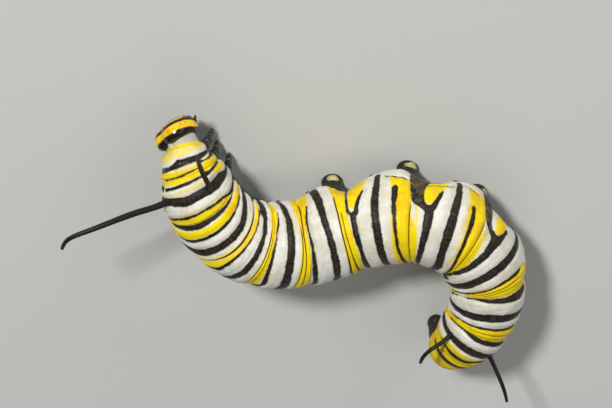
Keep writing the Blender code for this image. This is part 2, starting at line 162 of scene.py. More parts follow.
# Black bands, each a row of (angle, front edge, rear edge) round the body. A rear edge ahead of the front
# edge ends the band. The side that the photo doesn't show repeats the side that it shows. The first band
# is the glossy shield.
BLACK_BANDS = (
    # first thorax segment: shield, side line, and the bands between the two lines of the back
    ((-60, .56, .64), (-40, .52, .68), (-20, .46, .64), (0, .30, .60), (45, .35, .58), (75, .375, .52),
     (90, .375, .49), (115, .375, .49), (135, .42, .40)),
    ((44, .70, .60), (50, .58, .70), (60, .64, .70), (80, .63, .68), (92, .52, .68), (104, .44, .68),
     (118, .50, .66), (126, .60, .56)),
    ((-46, .95, .85), (-42, .90, .93), (0, .875, .92), (30, .84, .88), (42, .82, .86), (46, .90, .80)),
    ((-46, 1.20, 1.10), (-42, 1.11, 1.18), (0, 1.10, 1.175), (42, 1.10, 1.17), (46, 1.20, 1.10)),
    ((44, 1.14, 1.08), (48, 1.06, 1.20), (56, 1.09, 1.19), (66, 1.07, 1.15), (80, 1.04, 1.10),
     (100, 1.02, 1.06), (118, 1.05, 1.00)),
    # second thorax segment
    ((-60, 1.33, 1.52), (-30, 1.33, 1.50), (0, 1.39, 1.58), (30, 1.39, 1.58), (60, 1.39, 1.64),
     (75, 1.35, 1.63), (90, 1.44, 1.63), (120, 1.46, 1.60), (140, 1.55, 1.50)),
    ((-30, 1.77, 1.81), (0, 1.77, 1.81), (30, 1.78, 1.82), (60, 1.83, 1.89), (75, 1.93, 2.00),
     (85, 1.98, 2.06), (100, 2.00, 2.07), (120, 2.02, 2.07), (130, 2.06, 2.03)),
    ((-45, 1.98, 2.06), (-20, 1.96, 2.07), (0, 1.975, 2.07), (30, 1.985, 2.06), (60, 2.03, 2.07),
     (75, 2.04, 2.07), (90, 2.06, 2.02)),
    # third thorax segment
    ((-30, 2.27, 2.33), (0, 2.23, 2.30), (30, 2.23, 2.29), (60, 2.24, 2.29), (90, 2.25, 2.29),
     (110, 2.28, 2.24)),
    ((-60, 2.50, 2.72), (-30, 2.52, 2.74), (0, 2.49, 2.68), (60, 2.49, 2.68), (90, 2.41, 2.61),
     (120, 2.42, 2.58), (140, 2.53, 2.48)),
    ((-30, 3.18, 3.27), (0, 3.10, 3.175), (30, 3.095, 3.145), (60, 3.13, 3.18), (90, 3.18, 3.22),
     (110, 3.22, 3.18)),
    # abdomen 1
    ((-60, 3.48, 3.63), (-30, 3.50, 3.64), (0, 3.52, 3.68), (30, 3.51, 3.67), (60, 3.49, 3.66),
     (90, 3.33, 3.58), (120, 3.35, 3.55), (140, 3.46, 3.42)),
    ((80, 3.45, 3.40), (88, 3.24, 3.60), (110, 3.24, 3.60), (130, 3.40, 3.35)),
    ((-30, 4.10, 4.19), (0, 4.04, 4.11), (30, 4.02, 4.065), (60, 4.03, 4.065), (75, 4.075, 4.115),
     (88, 4.09, 4.125), (97, 4.13, 4.08)),
    # abdomen 2
    ((-60, 4.42, 4.60), (-30, 4.43, 4.61), (0, 4.39, 4.55), (30, 4.36, 4.54), (60, 4.33, 4.52),
     (90, 4.31, 4.49), (120, 4.33, 4.47), (140, 4.43, 4.38)),
    ((-45, 5.07, 5.14), (-30, 5.05, 5.13), (0, 4.985, 5.07), (30, 4.95, 5.025), (55, 4.92, 4.98),
     (65, 4.94, 5.00), (75, 5.00, 5.06), (88, 5.11, 5.17), (96, 5.20, 5.14)),
    # abdomen 3
    ((-60, 5.42, 5.56), (-30, 5.43, 5.55), (0, 5.41, 5.58), (60, 5.39, 5.60), (90, 5.44, 5.66),
     (120, 5.45, 5.62), (140, 5.56, 5.50)),
    # abdomen 4, whose front band forks round a yellow patch on each side
    ((-45, 6.03, 6.12), (-30, 6.02, 6.14), (0, 6.06, 6.14), (30, 6.06, 6.18), (55, 6.11, 6.21),
     (62, 6.19, 6.12)),
    ((46, 6.16, 6.10), (54, 6.09, 6.20), (58, 6.07, 6.13), (62, 6.05, 6.105), (68, 6.06, 6.10),
     (90, 6.085, 6.125), (115, 6.075, 6.12), (130, 6.07, 6.13), (150, 6.08, 6.12)),
    ((46, 6.20, 6.14), (54, 6.12, 6.25), (58, 6.19, 6.265), (61, 6.20, 6.27), (68, 6.225, 6.295),
     (78, 6.285, 6.34), (87, 6.335, 6.375), (92, 6.38, 6.33)),
    ((-60, 6.41, 6.53), (-30, 6.40, 6.54), (0, 6.41, 6.55), (30, 6.43, 6.56), (60, 6.46, 6.56),
     (90, 6.50, 6.58), (115, 6.51, 6.57), (130, 6.57, 6.51)),
    ((-50, 6.83, 6.90), (-30, 6.80, 6.87), (-15, 6.77, 6.83), (0, 6.75, 6.80), (30, 6.74, 6.79),
     (60, 6.73, 6.785), (70, 6.73, 6.80), (86, 6.73, 6.80), (92, 6.79, 6.74)),
    # abdomen 5
    ((-45, 7.07, 7.16), (-30, 7.07, 7.175), (0, 7.115, 7.21), (30, 7.14, 7.245), (50, 7.14, 7.255),
     (58, 7.22, 7.16)),
    ((46, 7.20, 7.15), (50, 7.13, 7.22), (55, 7.07, 7.24), (58, 7.03, 7.16), (61, 7.00, 7.125),
     (68, 6.965, 7.115), (80, 6.95, 7.11), (92, 6.94, 7.125), (104, 6.925, 7.16), (120, 6.92, 7.18),
     (165, 6.92, 7.20)),
    ((46, 7.22, 7.16), (52, 7.14, 7.26), (56, 7.14, 7.27), (58, 7.20, 7.275), (61, 7.215, 7.28),
     (70, 7.25, 7.30), (82, 7.29, 7.325), (92, 7.335, 7.29)),
    ((-60, 7.49, 7.68), (-30, 7.49, 7.69), (0, 7.44, 7.57), (30, 7.425, 7.55), (60, 7.44, 7.53),
     (90, 7.46, 7.53), (115, 7.47, 7.52), (130, 7.52, 7.46)),
    ((-45, 7.93, 7.98), (-30, 7.88, 7.935), (-15, 7.825, 7.88), (0, 7.77, 7.825), (30, 7.715, 7.77),
     (60, 7.685, 7.74), (76, 7.665, 7.71), (83, 7.71, 7.65)),
    # abdomen 6
    ((-50, 8.00, 8.07), (-30, 8.01, 8.08), (0, 8.06, 8.175), (30, 8.08, 8.20), (55, 8.06, 8.20),
     (62, 8.15, 8.09)),
    ((42, 8.14, 8.08), (50, 8.07, 8.18), (57, 8.00, 8.14), (62, 7.93, 8.04), (72, 7.865, 7.985),
     (90, 7.83, 7.97), (104, 7.81, 7.98), (120, 7.81, 8.00), (165, 7.80, 8.02)),
    ((42, 8.18, 8.12), (50, 8.11, 8.22), (60, 8.14, 8.22), (70, 8.185, 8.235), (80, 8.21, 8.245),
     (86, 8.25, 8.19)),
    ((-60, 8.38, 8.60), (-30, 8.38, 8.61), (0, 8.38, 8.56), (30, 8.40, 8.54), (60, 8.41, 8.52),
     (90, 8.42, 8.51), (115, 8.43, 8.50), (130, 8.50, 8.44)),
    ((-45, 8.76, 8.80), (0, 8.75, 8.79), (30, 8.72, 8.77), (60, 8.72, 8.77), (75, 8.77, 8.72)),
    # abdomen 7
    ((-50, 9.01, 8.97), (-35, 8.96, 9.01), (-20, 8.97, 9.03), (0, 9.02, 9.10), (30, 9.05, 9.16),
     (55, 9.05, 9.19), (75, 9.05, 9.12), (90, 9.11, 9.04)),
    ((-120, 9.48, 9.60), (-90, 9.46, 9.62), (-60, 9.44, 9.64), (-30, 9.40, 9.60), (0, 9.36, 9.55),
     (30, 9.39, 9.53), (60, 9.41, 9.52), (90, 9.42, 9.51), (120, 9.43, 9.50), (135, 9.50, 9.43)),
    ((-90, 9.86, 9.83), (-80, 9.83, 9.85), (-50, 9.78, 9.805), (-30, 9.75, 9.79), (0, 9.70, 9.755),
     (30, 9.675, 9.735), (60, 9.66, 9.72), (75, 9.72, 9.67)),
    # abdomen 8
    ((-85, 10.05, 10.02), (-75, 10.02, 10.04), (-45, 9.98, 10.01), (-30, 9.985, 10.035),
     (-15, 10.00, 10.08), (0, 10.02, 10.115), (30, 10.04, 10.125), (60, 10.06, 10.16),
     (80, 10.12, 10.07)),
    ((-120, 10.20, 10.34), (-90, 10.175, 10.36), (-60, 10.26, 10.42), (-30, 10.29, 10.46),
     (0, 10.31, 10.50), (30, 10.35, 10.52), (60, 10.42, 10.60), (90, 10.42, 10.58), (120, 10.44, 10.55),
     (135, 10.50, 10.44)),
    # abdomen 9 and the plate over the tail
    ((-75, 10.71, 10.67), (-60, 10.675, 10.70), (-30, 10.70, 10.81), (0, 10.725, 10.83),
     (30, 10.64, 10.74), (60, 10.64, 10.72), (75, 10.71, 10.65)),
    ((-88, 11.40, 11.30), (-75, 11.20, 11.50), (-40, 11.17, 11.62), (0, 11.17, 11.64), (30, 11.20, 11.65),
     (50, 11.30, 11.55), (60, 11.48, 11.38)),
)

# Patches of the black that are browner and mottled, in the same form.
BROWN_PATCHES = (
    ((56, 7.06, 7.00), (62, 6.92, 7.10), (130, 6.92, 7.16)),
    ((56, 8.00, 7.94), (62, 7.82, 8.02), (130, 7.80, 8.00)),
    ((50, 6.20, 6.14), (56, 6.04, 6.14), (70, 6.00, 6.12)),
)

# Thin dark creases, mostly in the yellow, partly a dark line of the skin and partly painted shade of the
# fold: rows of (angle, place, half width in millimetres).
CREASES = (
    ((-52, 2.95, -.10), (-40, 2.95, .05), (0, 2.945, .08), (60, 2.965, .085), (85, 2.98, .06),
     (104, 3.00, -.10)),
    ((-50, 3.85, -.10), (-35, 3.85, .00), (0, 3.855, .01), (60, 3.865, .01), (78, 3.87, -.10)),
    ((-50, 3.95, -.10), (-35, 3.95, -.01), (0, 3.945, .00), (50, 3.945, .00), (70, 3.94, -.10)),
    ((-50, 4.74, -.10), (-35, 4.74, .01), (0, 4.74, .01), (58, 4.735, .00), (74, 4.73, -.10)),
    ((-50, 4.86, -.10), (-35, 4.86, .00), (0, 4.83, .005), (30, 4.80, .005), (50, 4.78, .005),
     (70, 4.81, .01), (85, 4.90, .03), (100, 4.95, .04), (112, 4.97, -.10)),
    ((-60, 5.76, .05), (-45, 5.76, .09), (-30, 5.76, .06), (0, 5.795, .02), (30, 5.83, .02),
     (60, 5.88, .02), (90, 5.89, .02), (100, 5.89, -.10)),
    ((-60, 5.91, .03), (-45, 5.91, .08), (-25, 5.90, .03), (0, 5.895, .00), (30, 5.915, .00),
     (60, 5.955, .00), (75, 5.96, -.10)),
    ((-45, 6.97, -.10), (-30, 6.97, .00), (0, 6.955, .01), (45, 6.955, .015), (58, 6.965, .00),
     (66, 6.97, -.10)),
    ((-38, 7.97, -.10), (-20, 7.95, .00), (0, 7.92, .01), (45, 7.895, .01), (60, 7.89, .00),
     (68, 7.88, -.10)),
    ((-30, 8.86, -.10), (-15, 8.86, -.01), (0, 8.855, .00), (50, 8.85, .00), (70, 8.85, -.10)),
    ((-30, 8.94, -.10), (-15, 8.93, -.02), (0, 8.925, -.01), (50, 8.925, -.01), (66, 8.93, -.10)),
    ((-50, 9.87, -.10), (-35, 9.87, -.02), (0, 9.87, -.01), (40, 9.88, -.01), (55, 9.88, -.10)),
)
# Folds that run along the swellings of both sides, drawn dark in the creases' brown: partly a dark line of
# the skin, partly painted shade. Rows of (place, angle, half width in millimetres). The least half width, how
# fast a fold fades at its ends, how deep it is, and from which share on it counts.
SIDE_FOLDS = (
    ((6.60, 110, .036), (6.70, 107, .036), (6.81, 104, .036), (6.93, 101, .036)),
    ((7.08, 91, .05), (7.16, 94, .06), (7.23, 97.5, .09), (7.30, 99.5, .10), (7.38, 100, .09),
     (7.46, 101, .06)),
    ((7.52, 118, .036), (7.58, 111, .036), (7.64, 108, .036), (7.70, 104, .036), (7.76, 98, .036)),
)
SIDE_FOLD_HALF = 0.036
SIDE_FOLD_FADE = 0.06
SIDE_FOLD_DEPTH = 0.07
SIDE_FOLD_COUNTS = 0.5
# Relief of the bands: the softness and depth of a crease, how far the skin rises between the lines and
# over what distance, and how deep a black band lies and over what edge.
CREASE_SOFT = 0.042
CREASE_DEPTH = 0.05
BAND_RISE = 0.07
BAND_RISE_HALF = 0.17
BLACK_DEPTH = 0.02
BLACK_EDGE = 0.10
# Width of the soft edges of the yellow bands and of the washes, and the most that a wash covers.
YELLOW_EDGE = 0.24
WASH_EDGE = 0.50
WASH_MOST = 0.62
# Painted shade and darkening: the depth at which a groove starts to darken with painted shade and over what
# depth, the share of the neck's darkening and over what distance it ends at the collar, and the share of the
# tail's painted shade, with the place where it starts and its fade.
GROOVE_SHADE = (0.05, 0.16)
NECK_SHADE = (0.80, 0.03)
TAIL_SHADE = (0.62, 10.45, 0.3)
# Dark underside, partly the skin's own dark belly and partly painted shade, which reaches higher round the
# thorax and by the prolegs: places with the angle where it starts there, and over how many degrees it
# darkens.
BELLY_AND_SHADE_EDGE = (
    (0.0, 112), (1.6, 108), (2.0, 98), (2.5, 101), (3.0, 97), (3.4, 110), (4.0, 118), (6.75, 118),
    (6.95, 104), (7.15, 104), (7.35, 118), (7.7, 116), (7.85, 102), (8.05, 102), (8.25, 112), (13.0, 116),
)
BELLY_FADE = 22

# Yellow bands and patches, in the same form as the black bands.
YELLOW_BANDS = (
    ((-58, .72, .80), (-42, .68, .86), (-10, .70, .87), (8, .72, .87), (22, .76, .85), (33, .81, .83),
     (38, .84, .80)),
    ((-80, .00, .30), (-55, -.05, .22), (-35, -.10, .08), (-20, -.16, -.01), (0, -.21, -.06),
     (40, -.17, -.04), (60, -.10, .03), (80, -.01, .14), (105, .04, .18), (130, .13, .10)),
    ((-60, .95, 1.06), (0, .92, 1.09), (46, .88, 1.09)),
    ((50, .76, .92), (57, .70, 1.07), (75, .69, 1.03), (92, .69, 1.0), (102, .73, .96), (112, .86, .82)),
    ((60, 1.22, 1.20), (70, 1.12, 1.30), (90, 1.10, 1.33), (102, 1.14, 1.28), (112, 1.24, 1.20)),
    ((-30, 1.81, 1.96), (0, 1.81, 1.97), (30, 1.81, 1.98), (60, 1.88, 2.02), (80, 1.99, 2.04),
     (95, 2.06, 2.02)),
    ((-40, 2.08, 2.25), (0, 2.08, 2.22), (60, 2.08, 2.24), (90, 2.09, 2.25), (115, 2.14, 2.20),
     (125, 2.18, 2.14)),
    ((-40, 2.80, 2.90), (0, 2.79, 2.89), (60, 2.81, 2.905), (90, 2.84, 2.93), (108, 2.92, 2.89)),
    ((-40, 3.01, 3.18), (0, 2.99, 3.10), (60, 3.02, 3.13), (90, 3.04, 3.18), (108, 3.06, 3.12),
     (120, 3.12, 3.06)),
    ((-45, 3.85, 4.08), (0, 3.82, 4.03), (60, 3.83, 4.03), (75, 3.79, 4.07), (92, 3.77, 4.09),
     (105, 3.79, 4.08), (118, 3.84, 4.02), (130, 3.94, 3.90)),
    ((-50, 4.70, 5.02), (0, 4.69, 4.95), (58, 4.69, 4.90), (72, 4.69, 4.98), (88, 4.67, 5.12),
     (96, 4.68, 5.19), (104, 4.70, 5.28), (112, 4.76, 5.34), (120, 4.84, 5.36), (128, 4.95, 5.34),
     (135, 5.15, 5.10)),
    ((-50, 5.72, 5.99), (0, 5.76, 6.04), (30, 5.80, 6.05), (60, 5.86, 6.06), (90, 5.87, 6.08),
     (100, 5.87, 6.08), (110, 5.85, 6.08), (120, 5.82, 6.06), (132, 5.86, 6.00), (140, 5.95, 5.91)),
    ((59, 6.18, 6.14), (64, 6.12, 6.22), (75, 6.11, 6.29), (88, 6.13, 6.35), (100, 6.12, 6.40),
     (112, 6.15, 6.38), (124, 6.28, 6.22)),
    ((-50, 6.72, 7.05), (0, 6.70, 7.09), (20, 6.72, 7.07), (34, 6.73, 7.02), (46, 6.73, 6.97),
     (62, 6.74, 6.965), (84, 6.73, 6.965), (96, 6.70, 6.95), (102, 6.70, 6.88), (106, 6.70, 6.77),
     (109, 6.71, 6.69)),
    ((58, 7.20, 7.15), (62, 7.11, 7.23), (75, 7.10, 7.27), (90, 7.11, 7.34), (97, 7.145, 7.37),
     (104, 7.18, 7.38), (112, 7.26, 7.34), (118, 7.32, 7.28)),
    ((-40, 7.90, 8.02), (-15, 7.80, 8.03), (0, 7.74, 8.06), (20, 7.71, 8.02), (36, 7.69, 7.96),
     (50, 7.67, 7.91), (62, 7.65, 7.89), (80, 7.63, 7.87), (92, 7.61, 7.84), (102, 7.61, 7.76),
     (109, 7.62, 7.64), (113, 7.64, 7.60)),
    ((58, 8.14, 8.10), (64, 8.06, 8.17), (75, 8.04, 8.20), (90, 8.04, 8.22), (100, 8.08, 8.18),
     (108, 8.14, 8.10)),
    ((-42, 8.86, 8.82), (-25, 8.79, 8.95), (0, 8.77, 9.01), (30, 8.76, 9.04), (60, 8.73, 9.05),
     (85, 8.75, 9.02), (100, 8.88, 8.84)),
    ((-105, 10.02, 10.14), (-80, 9.88, 10.08), (-50, 9.80, 10.00), (0, 9.73, 10.02), (60, 9.69, 10.07),
     (80, 9.74, 10.00), (95, 9.88, 9.84)),
    ((-110, 10.66, 13.10), (-75, 10.60, 13.10), (-45, 10.50, 13.10), (-20, 10.55, 13.10),
     (10, 10.60, 13.10), (60, 10.64, 13.10), (120, 10.9, 13.1)),
)
# Faint yellow washes, in the same form, whose edges are wide and soft.
YELLOW_WASHES = (
    ((-80, -.02, .42), (-40, -.08, .42), (-10, -.18, .27), (20, -.16, .26), (45, -.14, .22),
     (75, -.06, .22), (105, .02, .24), (130, .12, .08)),
    ((-50, .62, .70), (-40, .66, .86), (44, .64, .84), (48, .76, .72)),
    ((-30, 2.80, 2.92), (0, 2.79, 2.92), (60, 2.81, 2.94), (90, 2.84, 2.96), (110, 2.93, 2.90)),
    ((-40, 1.24, 1.34), (0, 1.22, 1.34), (40, 1.22, 1.32), (50, 1.28, 1.24)),
    ((-40, 1.70, 1.78), (0, 1.69, 1.78), (50, 1.71, 1.80), (60, 1.82, 1.78)),
    ((-50, 6.64, 6.72), (0, 6.65, 6.72), (50, 6.69, 6.73), (60, 6.73, 6.69)),
    ((-20, 7.72, 7.80), (0, 7.66, 7.72), (50, 7.61, 7.67), (70, 7.60, 7.66), (85, 7.66, 7.62)),
    ((-60, 8.66, 8.74), (0, 8.67, 8.74), (50, 8.68, 8.73), (70, 8.72, 8.68)),
    ((-60, 10.50, 10.60), (0, 10.52, 10.62), (30, 10.56, 10.64), (50, 10.62, 10.58)),
    ((-40, 7.00, 7.08), (20, 7.02, 7.10), (58, 7.00, 7.07), (64, 7.04, 7.00)),
    ((-20, 7.96, 8.04), (20, 7.96, 8.06), (50, 7.92, 8.02), (60, 7.96, 7.90)),
    ((60, .54, .64), (80, .52, .64), (95, .56, .60)),
)

# Prolegs, anal prolegs and true legs: place along the body, and from the sole or the claw up: height, way
# out, radius across and along, and way forward.
PROLEGS = {3: 5.78, 4: 6.88, 5: 7.95, 6: 8.82}
PROLEG_RINGS = (
    (0.00, 1.55, 0.56, 0.66, 0.0), (0.14, 1.56, 0.64, 0.76, 0.0), (0.45, 1.55, 0.62, 0.73, 0.0),
    (0.85, 1.50, 0.62, 0.70, 0.0), (1.35, 1.40, 0.80, 0.88, 0.0), (2.00, 1.30, 1.00, 1.08, 0.0),
    (2.70, 1.20, 1.10, 1.20, 0.0),
)
ANAL_AT = 12.4
ANAL_RINGS = (
    (0.00, 1.02, 0.48, 0.60, 0.0), (0.14, 1.03, 0.56, 0.68, 0.0), (0.50, 1.01, 0.54, 0.66, 0.0),
    (1.00, 0.92, 0.60, 0.72, 0.0), (1.60, 0.80, 0.70, 0.80, 0.0), (2.20, 0.70, 0.72, 0.82, 0.0),
)
TRUE_LEGS = {
    1: (0.75, (
        (0.00, 1.60, 0.02, 0.02, -0.34), (0.16, 1.62, 0.07, 0.07, -0.36), (0.42, 1.60, 0.15, 0.16, -0.32),
        (1.05, 1.42, 0.25, 0.26, -0.28), (1.75, 1.18, 0.36, 0.37, -0.25), (2.60, 0.85, 0.50, 0.50, -0.20),
        (3.20, 0.55, 0.52, 0.52, -0.15),
    )),
    2: (1.50, (
        (0.00, 1.58, 0.02, 0.02, -0.08), (0.16, 1.62, 0.07, 0.07, -0.09), (0.42, 1.62, 0.15, 0.16, -0.05),
        (1.10, 1.54, 0.26, 0.27, -0.08), (1.85, 1.38, 0.38, 0.39, -0.05), (2.70, 1.12, 0.52, 0.52, 0.00),
        (3.30, 0.86, 0.56, 0.56, 0.00),
    )),
    3: (2.42, (
        (0.00, 1.91, 0.02, 0.02, 0.46), (0.16, 1.95, 0.07, 0.07, 0.47), (0.42, 1.95, 0.15, 0.16, 0.48),
        (1.15, 1.82, 0.26, 0.27, 0.35), (1.95, 1.60, 0.38, 0.39, 0.18), (2.75, 1.30, 0.52, 0.52, 0.05),
        (3.40, 1.00, 0.56, 0.56, 0.00),
    )),
}
# Joints of the true legs, and folds of the prolegs: height, depth and half height. A fold is drawn in less
# where the radius is under the least one.
LEG_JOINTS = ((0.34, 0.035, 0.04), (0.98, 0.06, 0.07), (1.78, 0.08, 0.08), (2.60, 0.08, 0.10))
FOOT_FOLDS = (
    (0.17, 0.04, 0.04), (0.72, 0.07, 0.06), (0.98, 0.03, 0.05), (1.22, 0.05, 0.06), (1.50, 0.04, 0.06),
)
LEAST_RADIUS = 0.15
# Pale plate on the outer face of each proleg: height, half height, half width in degrees, and how far it
# lies behind the middle of that face.
FOOT_PLATE = (0.54, 0.24, 40, 28)
# Hooks round the inner edge of each sole: how many, from which angle to which, their length and radius, how
# far out they stand as a share of the sole's radii, their path as shares of the length out, heights and
# shares of the radius, and their rings and sides.
HOOKS = (17, 110, 250, 0.16, 0.022)
HOOK_STAND = 0.80
HOOK_PATH = ((-0.2, 0.12, 1.0), (0.35, 0.045, 1.0), (0.8, 0.035, 0.8), (1.1, 0.10, 0.3))
HOOK_GRID = (7, 6)
LIMB_RINGS = 90
LIMB_SIDES = 48

# Breathing pores: segment places, angle round the body, half sizes along and round it, and the rim's
# profile as shares of those sizes with heights. A small step finds the skin's slope.
PORES = (0.62, 3.50, 4.50, 5.44, 6.44, 7.46, 8.46, 9.48, 10.40)
PORE_ANGLE = 129.0
PORE_HALF = (0.13, 0.20)
PORE_PROFILE = (
    (0.05, -0.02), (0.35, -0.015), (0.55, 0.005), (0.75, 0.02), (0.92, 0.015), (1.08, 0.0), (1.2, -0.06),
)
PORE_SIDES = 24
PORE_STEP = 0.01

# Filaments: centre line and radius at each point, the first one inside the body.
FILAMENTS = {
    "front_filament_left": (
        (-9.10, 5.25, 5.55, 0.42), (-10.10, 5.01, 6.30, 0.27), (-11.92, 4.90, 7.20, 0.235),
        (-13.66, 4.79, 8.10, 0.215), (-15.48, 4.44, 8.80, 0.19), (-16.86, 3.79, 8.90, 0.165),
        (-17.48, 2.39, 8.30, 0.13),
    ),
    "front_filament_right": (
        (-7.35, 6.05, 5.70, 0.50), (-6.92, 6.55, 6.60, 0.28), (-7.25, 8.62, 7.60, 0.185),
        (-7.49, 10.51, 8.70, 0.155), (-7.39, 11.79, 9.70, 0.14), (-6.87, 12.66, 10.40, 0.10),
    ),
    "rear_filament_left": (
        (11.60, -8.05, 5.40, 0.34), (10.88, -7.45, 6.20, 0.185), (10.05, -7.90, 6.70, 0.16),
        (9.38, -8.23, 7.00, 0.155), (8.81, -8.92, 7.00, 0.15), (8.58, -9.97, 6.60, 0.12),
    ),
    "rear_filament_right": (
        (12.90, -9.35, 5.30, 0.34), (13.75, -9.89, 5.90, 0.20), (14.15, -10.62, 6.20, 0.165),
        (14.53, -11.37, 6.60, 0.155), (14.95, -12.51, 6.80, 0.145), (15.23, -13.73, 6.80, 0.115),
    ),
}
FILAMENT_RINGS = 150
FILAMENT_SIDES = 24
# Wrinkles of the filaments: their depth as a share of the radius, and two waves along the line, each with
# its number to a millimetre, how far and how often it sways, and its start.
WRINKLE_SHARE = 0.035
WRINKLE_WAVES = ((31, 1.7, 7, 0.0), (17, 0.0, 0.0, 2.0))
# Round tip of a line: the share of its rings that make it, and how near to a point it comes.
TIP_SHARE = 0.1
TIP_MOST = 0.995

# Head, as in part.py: built with its face along +Y and its top along +Z, then turned, leaned and nodded.
HEAD_AT = np.array((-9.20, 8.78, 3.20))
HEAD_TURN = 57.0
HEAD_LEAN = 17.5
HEAD_NOD = 40.0
HEAD_HALF_WIDTH = 1.62
HEAD_HALF_HEIGHT = 1.56
HEAD_FRONT = 1.10
HEAD_BACK = 0.71
HEAD_POWER = 2.5
JAW_NARROW = 0.12
NOTCH_DEPTH = 0.12
NOTCH_HALF = 0.30
HEAD_RINGS = 180
HEAD_SIDES = 240
# How many degrees short of their poles the grids of the head, of the parts of the mouth and of the eyes end.
HEAD_POLE = 1
LUMP_POLE = 3
EYE_POLE = 5.73
# Antennae: centre line and radius at each point, in the head's frame.
ANTENNA_POINTS = (
    (1.20, -0.06, -0.77, 0.17), (1.29, 0.11, -0.90, 0.17), (1.35, 0.22, -0.98, 0.15),
    (1.37, 0.26, -1.01, 0.11), (1.42, 0.36, -1.08, 0.11), (1.44, 0.40, -1.11, 0.07),
    (1.48, 0.48, -1.17, 0.06),
)
ANTENNA_RINGS = 50
ANTENNA_SIDES = 20

# Face: the seams as lines in the plane of the face (x, z), how deep and wide they are cut, how wide their
# pale line is and how far back it runs, as a share of the head's rear half. Then the parts round the mouth:
# name, middle, half sizes, the power of their rounding and their surface. Parts off the middle stand on
# both sides.
SEAMS = (((0.0, 0.45), (0.0, 1.60)), ((0.0, 0.45), (0.62, -1.05)))
SEAM_DEPTH = 0.035
SEAM_HALF = 0.05
SEAM_PALE = 0.012
SEAM_BACK = -0.6
MOUTH = (
    ("clypeus", (0.0, 0.84, -1.00), (0.46, 0.12, 0.13), 2.6, "mouth membrane"),
    ("labrum", (0.0, 0.80, -1.22), (0.36, 0.13, 0.20), 2.6, "mouth cuticle"),
    ("mandible", (0.34, 0.62, -1.40), (0.30, 0.28, 0.26), 2.2, "jaw"),
    ("maxilla", (0.46, 0.34, -1.46), (0.22, 0.24, 0.26), 2.2, "mouth cuticle"),
    ("labium", (0.0, 0.36, -1.48), (0.28, 0.24, 0.26), 2.4, "mouth cuticle"),
    ("palp", (0.42, 0.48, -1.68), (0.07, 0.08, 0.13), 2.0, "jaw"),
    ("spinneret", (0.0, 0.48, -1.72), (0.05, 0.07, 0.13), 2.0, "jaw"),
)
LUMP_RINGS = 28
LUMP_SIDES = 40

# Simple eyes on each side of the head: angle round the face from its top, angle from its middle, in degrees.
EYES = ((100, 62), (107, 58), (115, 57), (123, 60), (127, 66), (116, 67))
EYE_RADIUS = 0.055
EYE_SUNK = 0.02
EYE_RINGS = 10
EYE_SIDES = 16

# Bands of the head: rows of (angle round the face from its top, inner edge, outer edge), both from the
# middle of the face in degrees.
HEAD_YELLOW = (
    ((0, 66, 84), (30, 70, 88), (60, 71, 89), (90, 74.5, 95), (110, 82, 102), (130, 88, 100),
     (145, 95, 91)),
    ((0, 40, 50), (30, 48, 57), (60, 50, 59), (90, 52, 62), (110, 55, 63.5), (125, 59, 64),
     (135, 65, 61)),
)

# Grain of the surfaces in millimetres: blobs of the skin's mottle, blots and specks, of the head's, and of
# the prolegs' blots and specks; streaks and wrinkles of the skin as their size across and along the body.
# The skin's specks, and the grain of the head, the limbs, the small plates and the card, are too fine in life
# to show in the picture, and are drawn as coarse as they need to be.
SKIN_GRAINS = (1.4, 0.55, 0.20)
SHELL_GRAINS = (0.30, 0.10)
FOOT_GRAINS = (0.35, 0.12)
LEG_GRAIN = 0.12
CLOUD_GRAIN = 0.5
FLOOR_GRAIN = 1.1
STREAK_SIZE = (0.15, 0.70)
WRINKLE_SIZE = (1.1, 0.20)
SKIN_NOISE = {"Detail": 4.0, "Roughness": 0.6}
# How deep the relief of each surface is, in millimetres, and the share of the specks in the skin's.
RELIEF = {"skin": 0.04, "shell": 0.008, "leg": 0.01, "foot": 0.02, "floor": 0.005}
SPECK_RELIEF = 0.6
SKIN_ROUGHNESS = 0.46
PLATE_ROUGHNESS = 0.12

# Tones laid over a ground: the two levels of the value that draws each, between which its cover rises, and
# how far it rises.
TONES = {
    "painted_sheen": (0.40, 0.66, 0.85),
    "band rim": (-0.18, -0.03, 0.75),
    "olive": (0.36, 0.62, 0.85),
    "cream": (0.62, 0.38, 1.0),
    "speck": (0.57, 0.76, 0.55),
    "faint yellow": (0.20, 0.85, 1.0),
    "deep yellow": (0.55, 0.35, 0.8),
    "yellow": (0.35, 0.90, 1.0),
    "belly": (0.35, 0.75, 1.0),
    "shade": (0.20, 1.00, 0.40),
    "crease": (0.30, 0.80, 0.95),
    "fold": (0.0, 1.0, 0.95),
    "band halo": (0.09, 0.0, 0.40),
    "band": (0.035, -0.035, 1.0),
    "head orange": (0.52, 0.36, 0.8),
    "head band": (0.025, -0.025, 1.0),
    "seam": (0.020, -0.020, 0.45),
    "cloud": (0.45, 0.75, 0.6),
    "membrane": (0.60, 1.05, 0.65),
    "foot sheen": (0.50, 0.75, 0.5),
    "plate": (0.06, -0.06, 1.0),
    "plate cream": (0.55, 0.75, 0.8),
}
# How far the edges of the tones waver, in the units of the values that draw them.
WAVER = {
    "faint yellow": 0.40, "belly": 0.9, "crease": 0.3, "fold": 0.08, "band": 0.22, "band's specks": 0.08,
    "head band": 0.12, "seam": 0.03, "membrane": 0.9, "plate": 0.30,
}
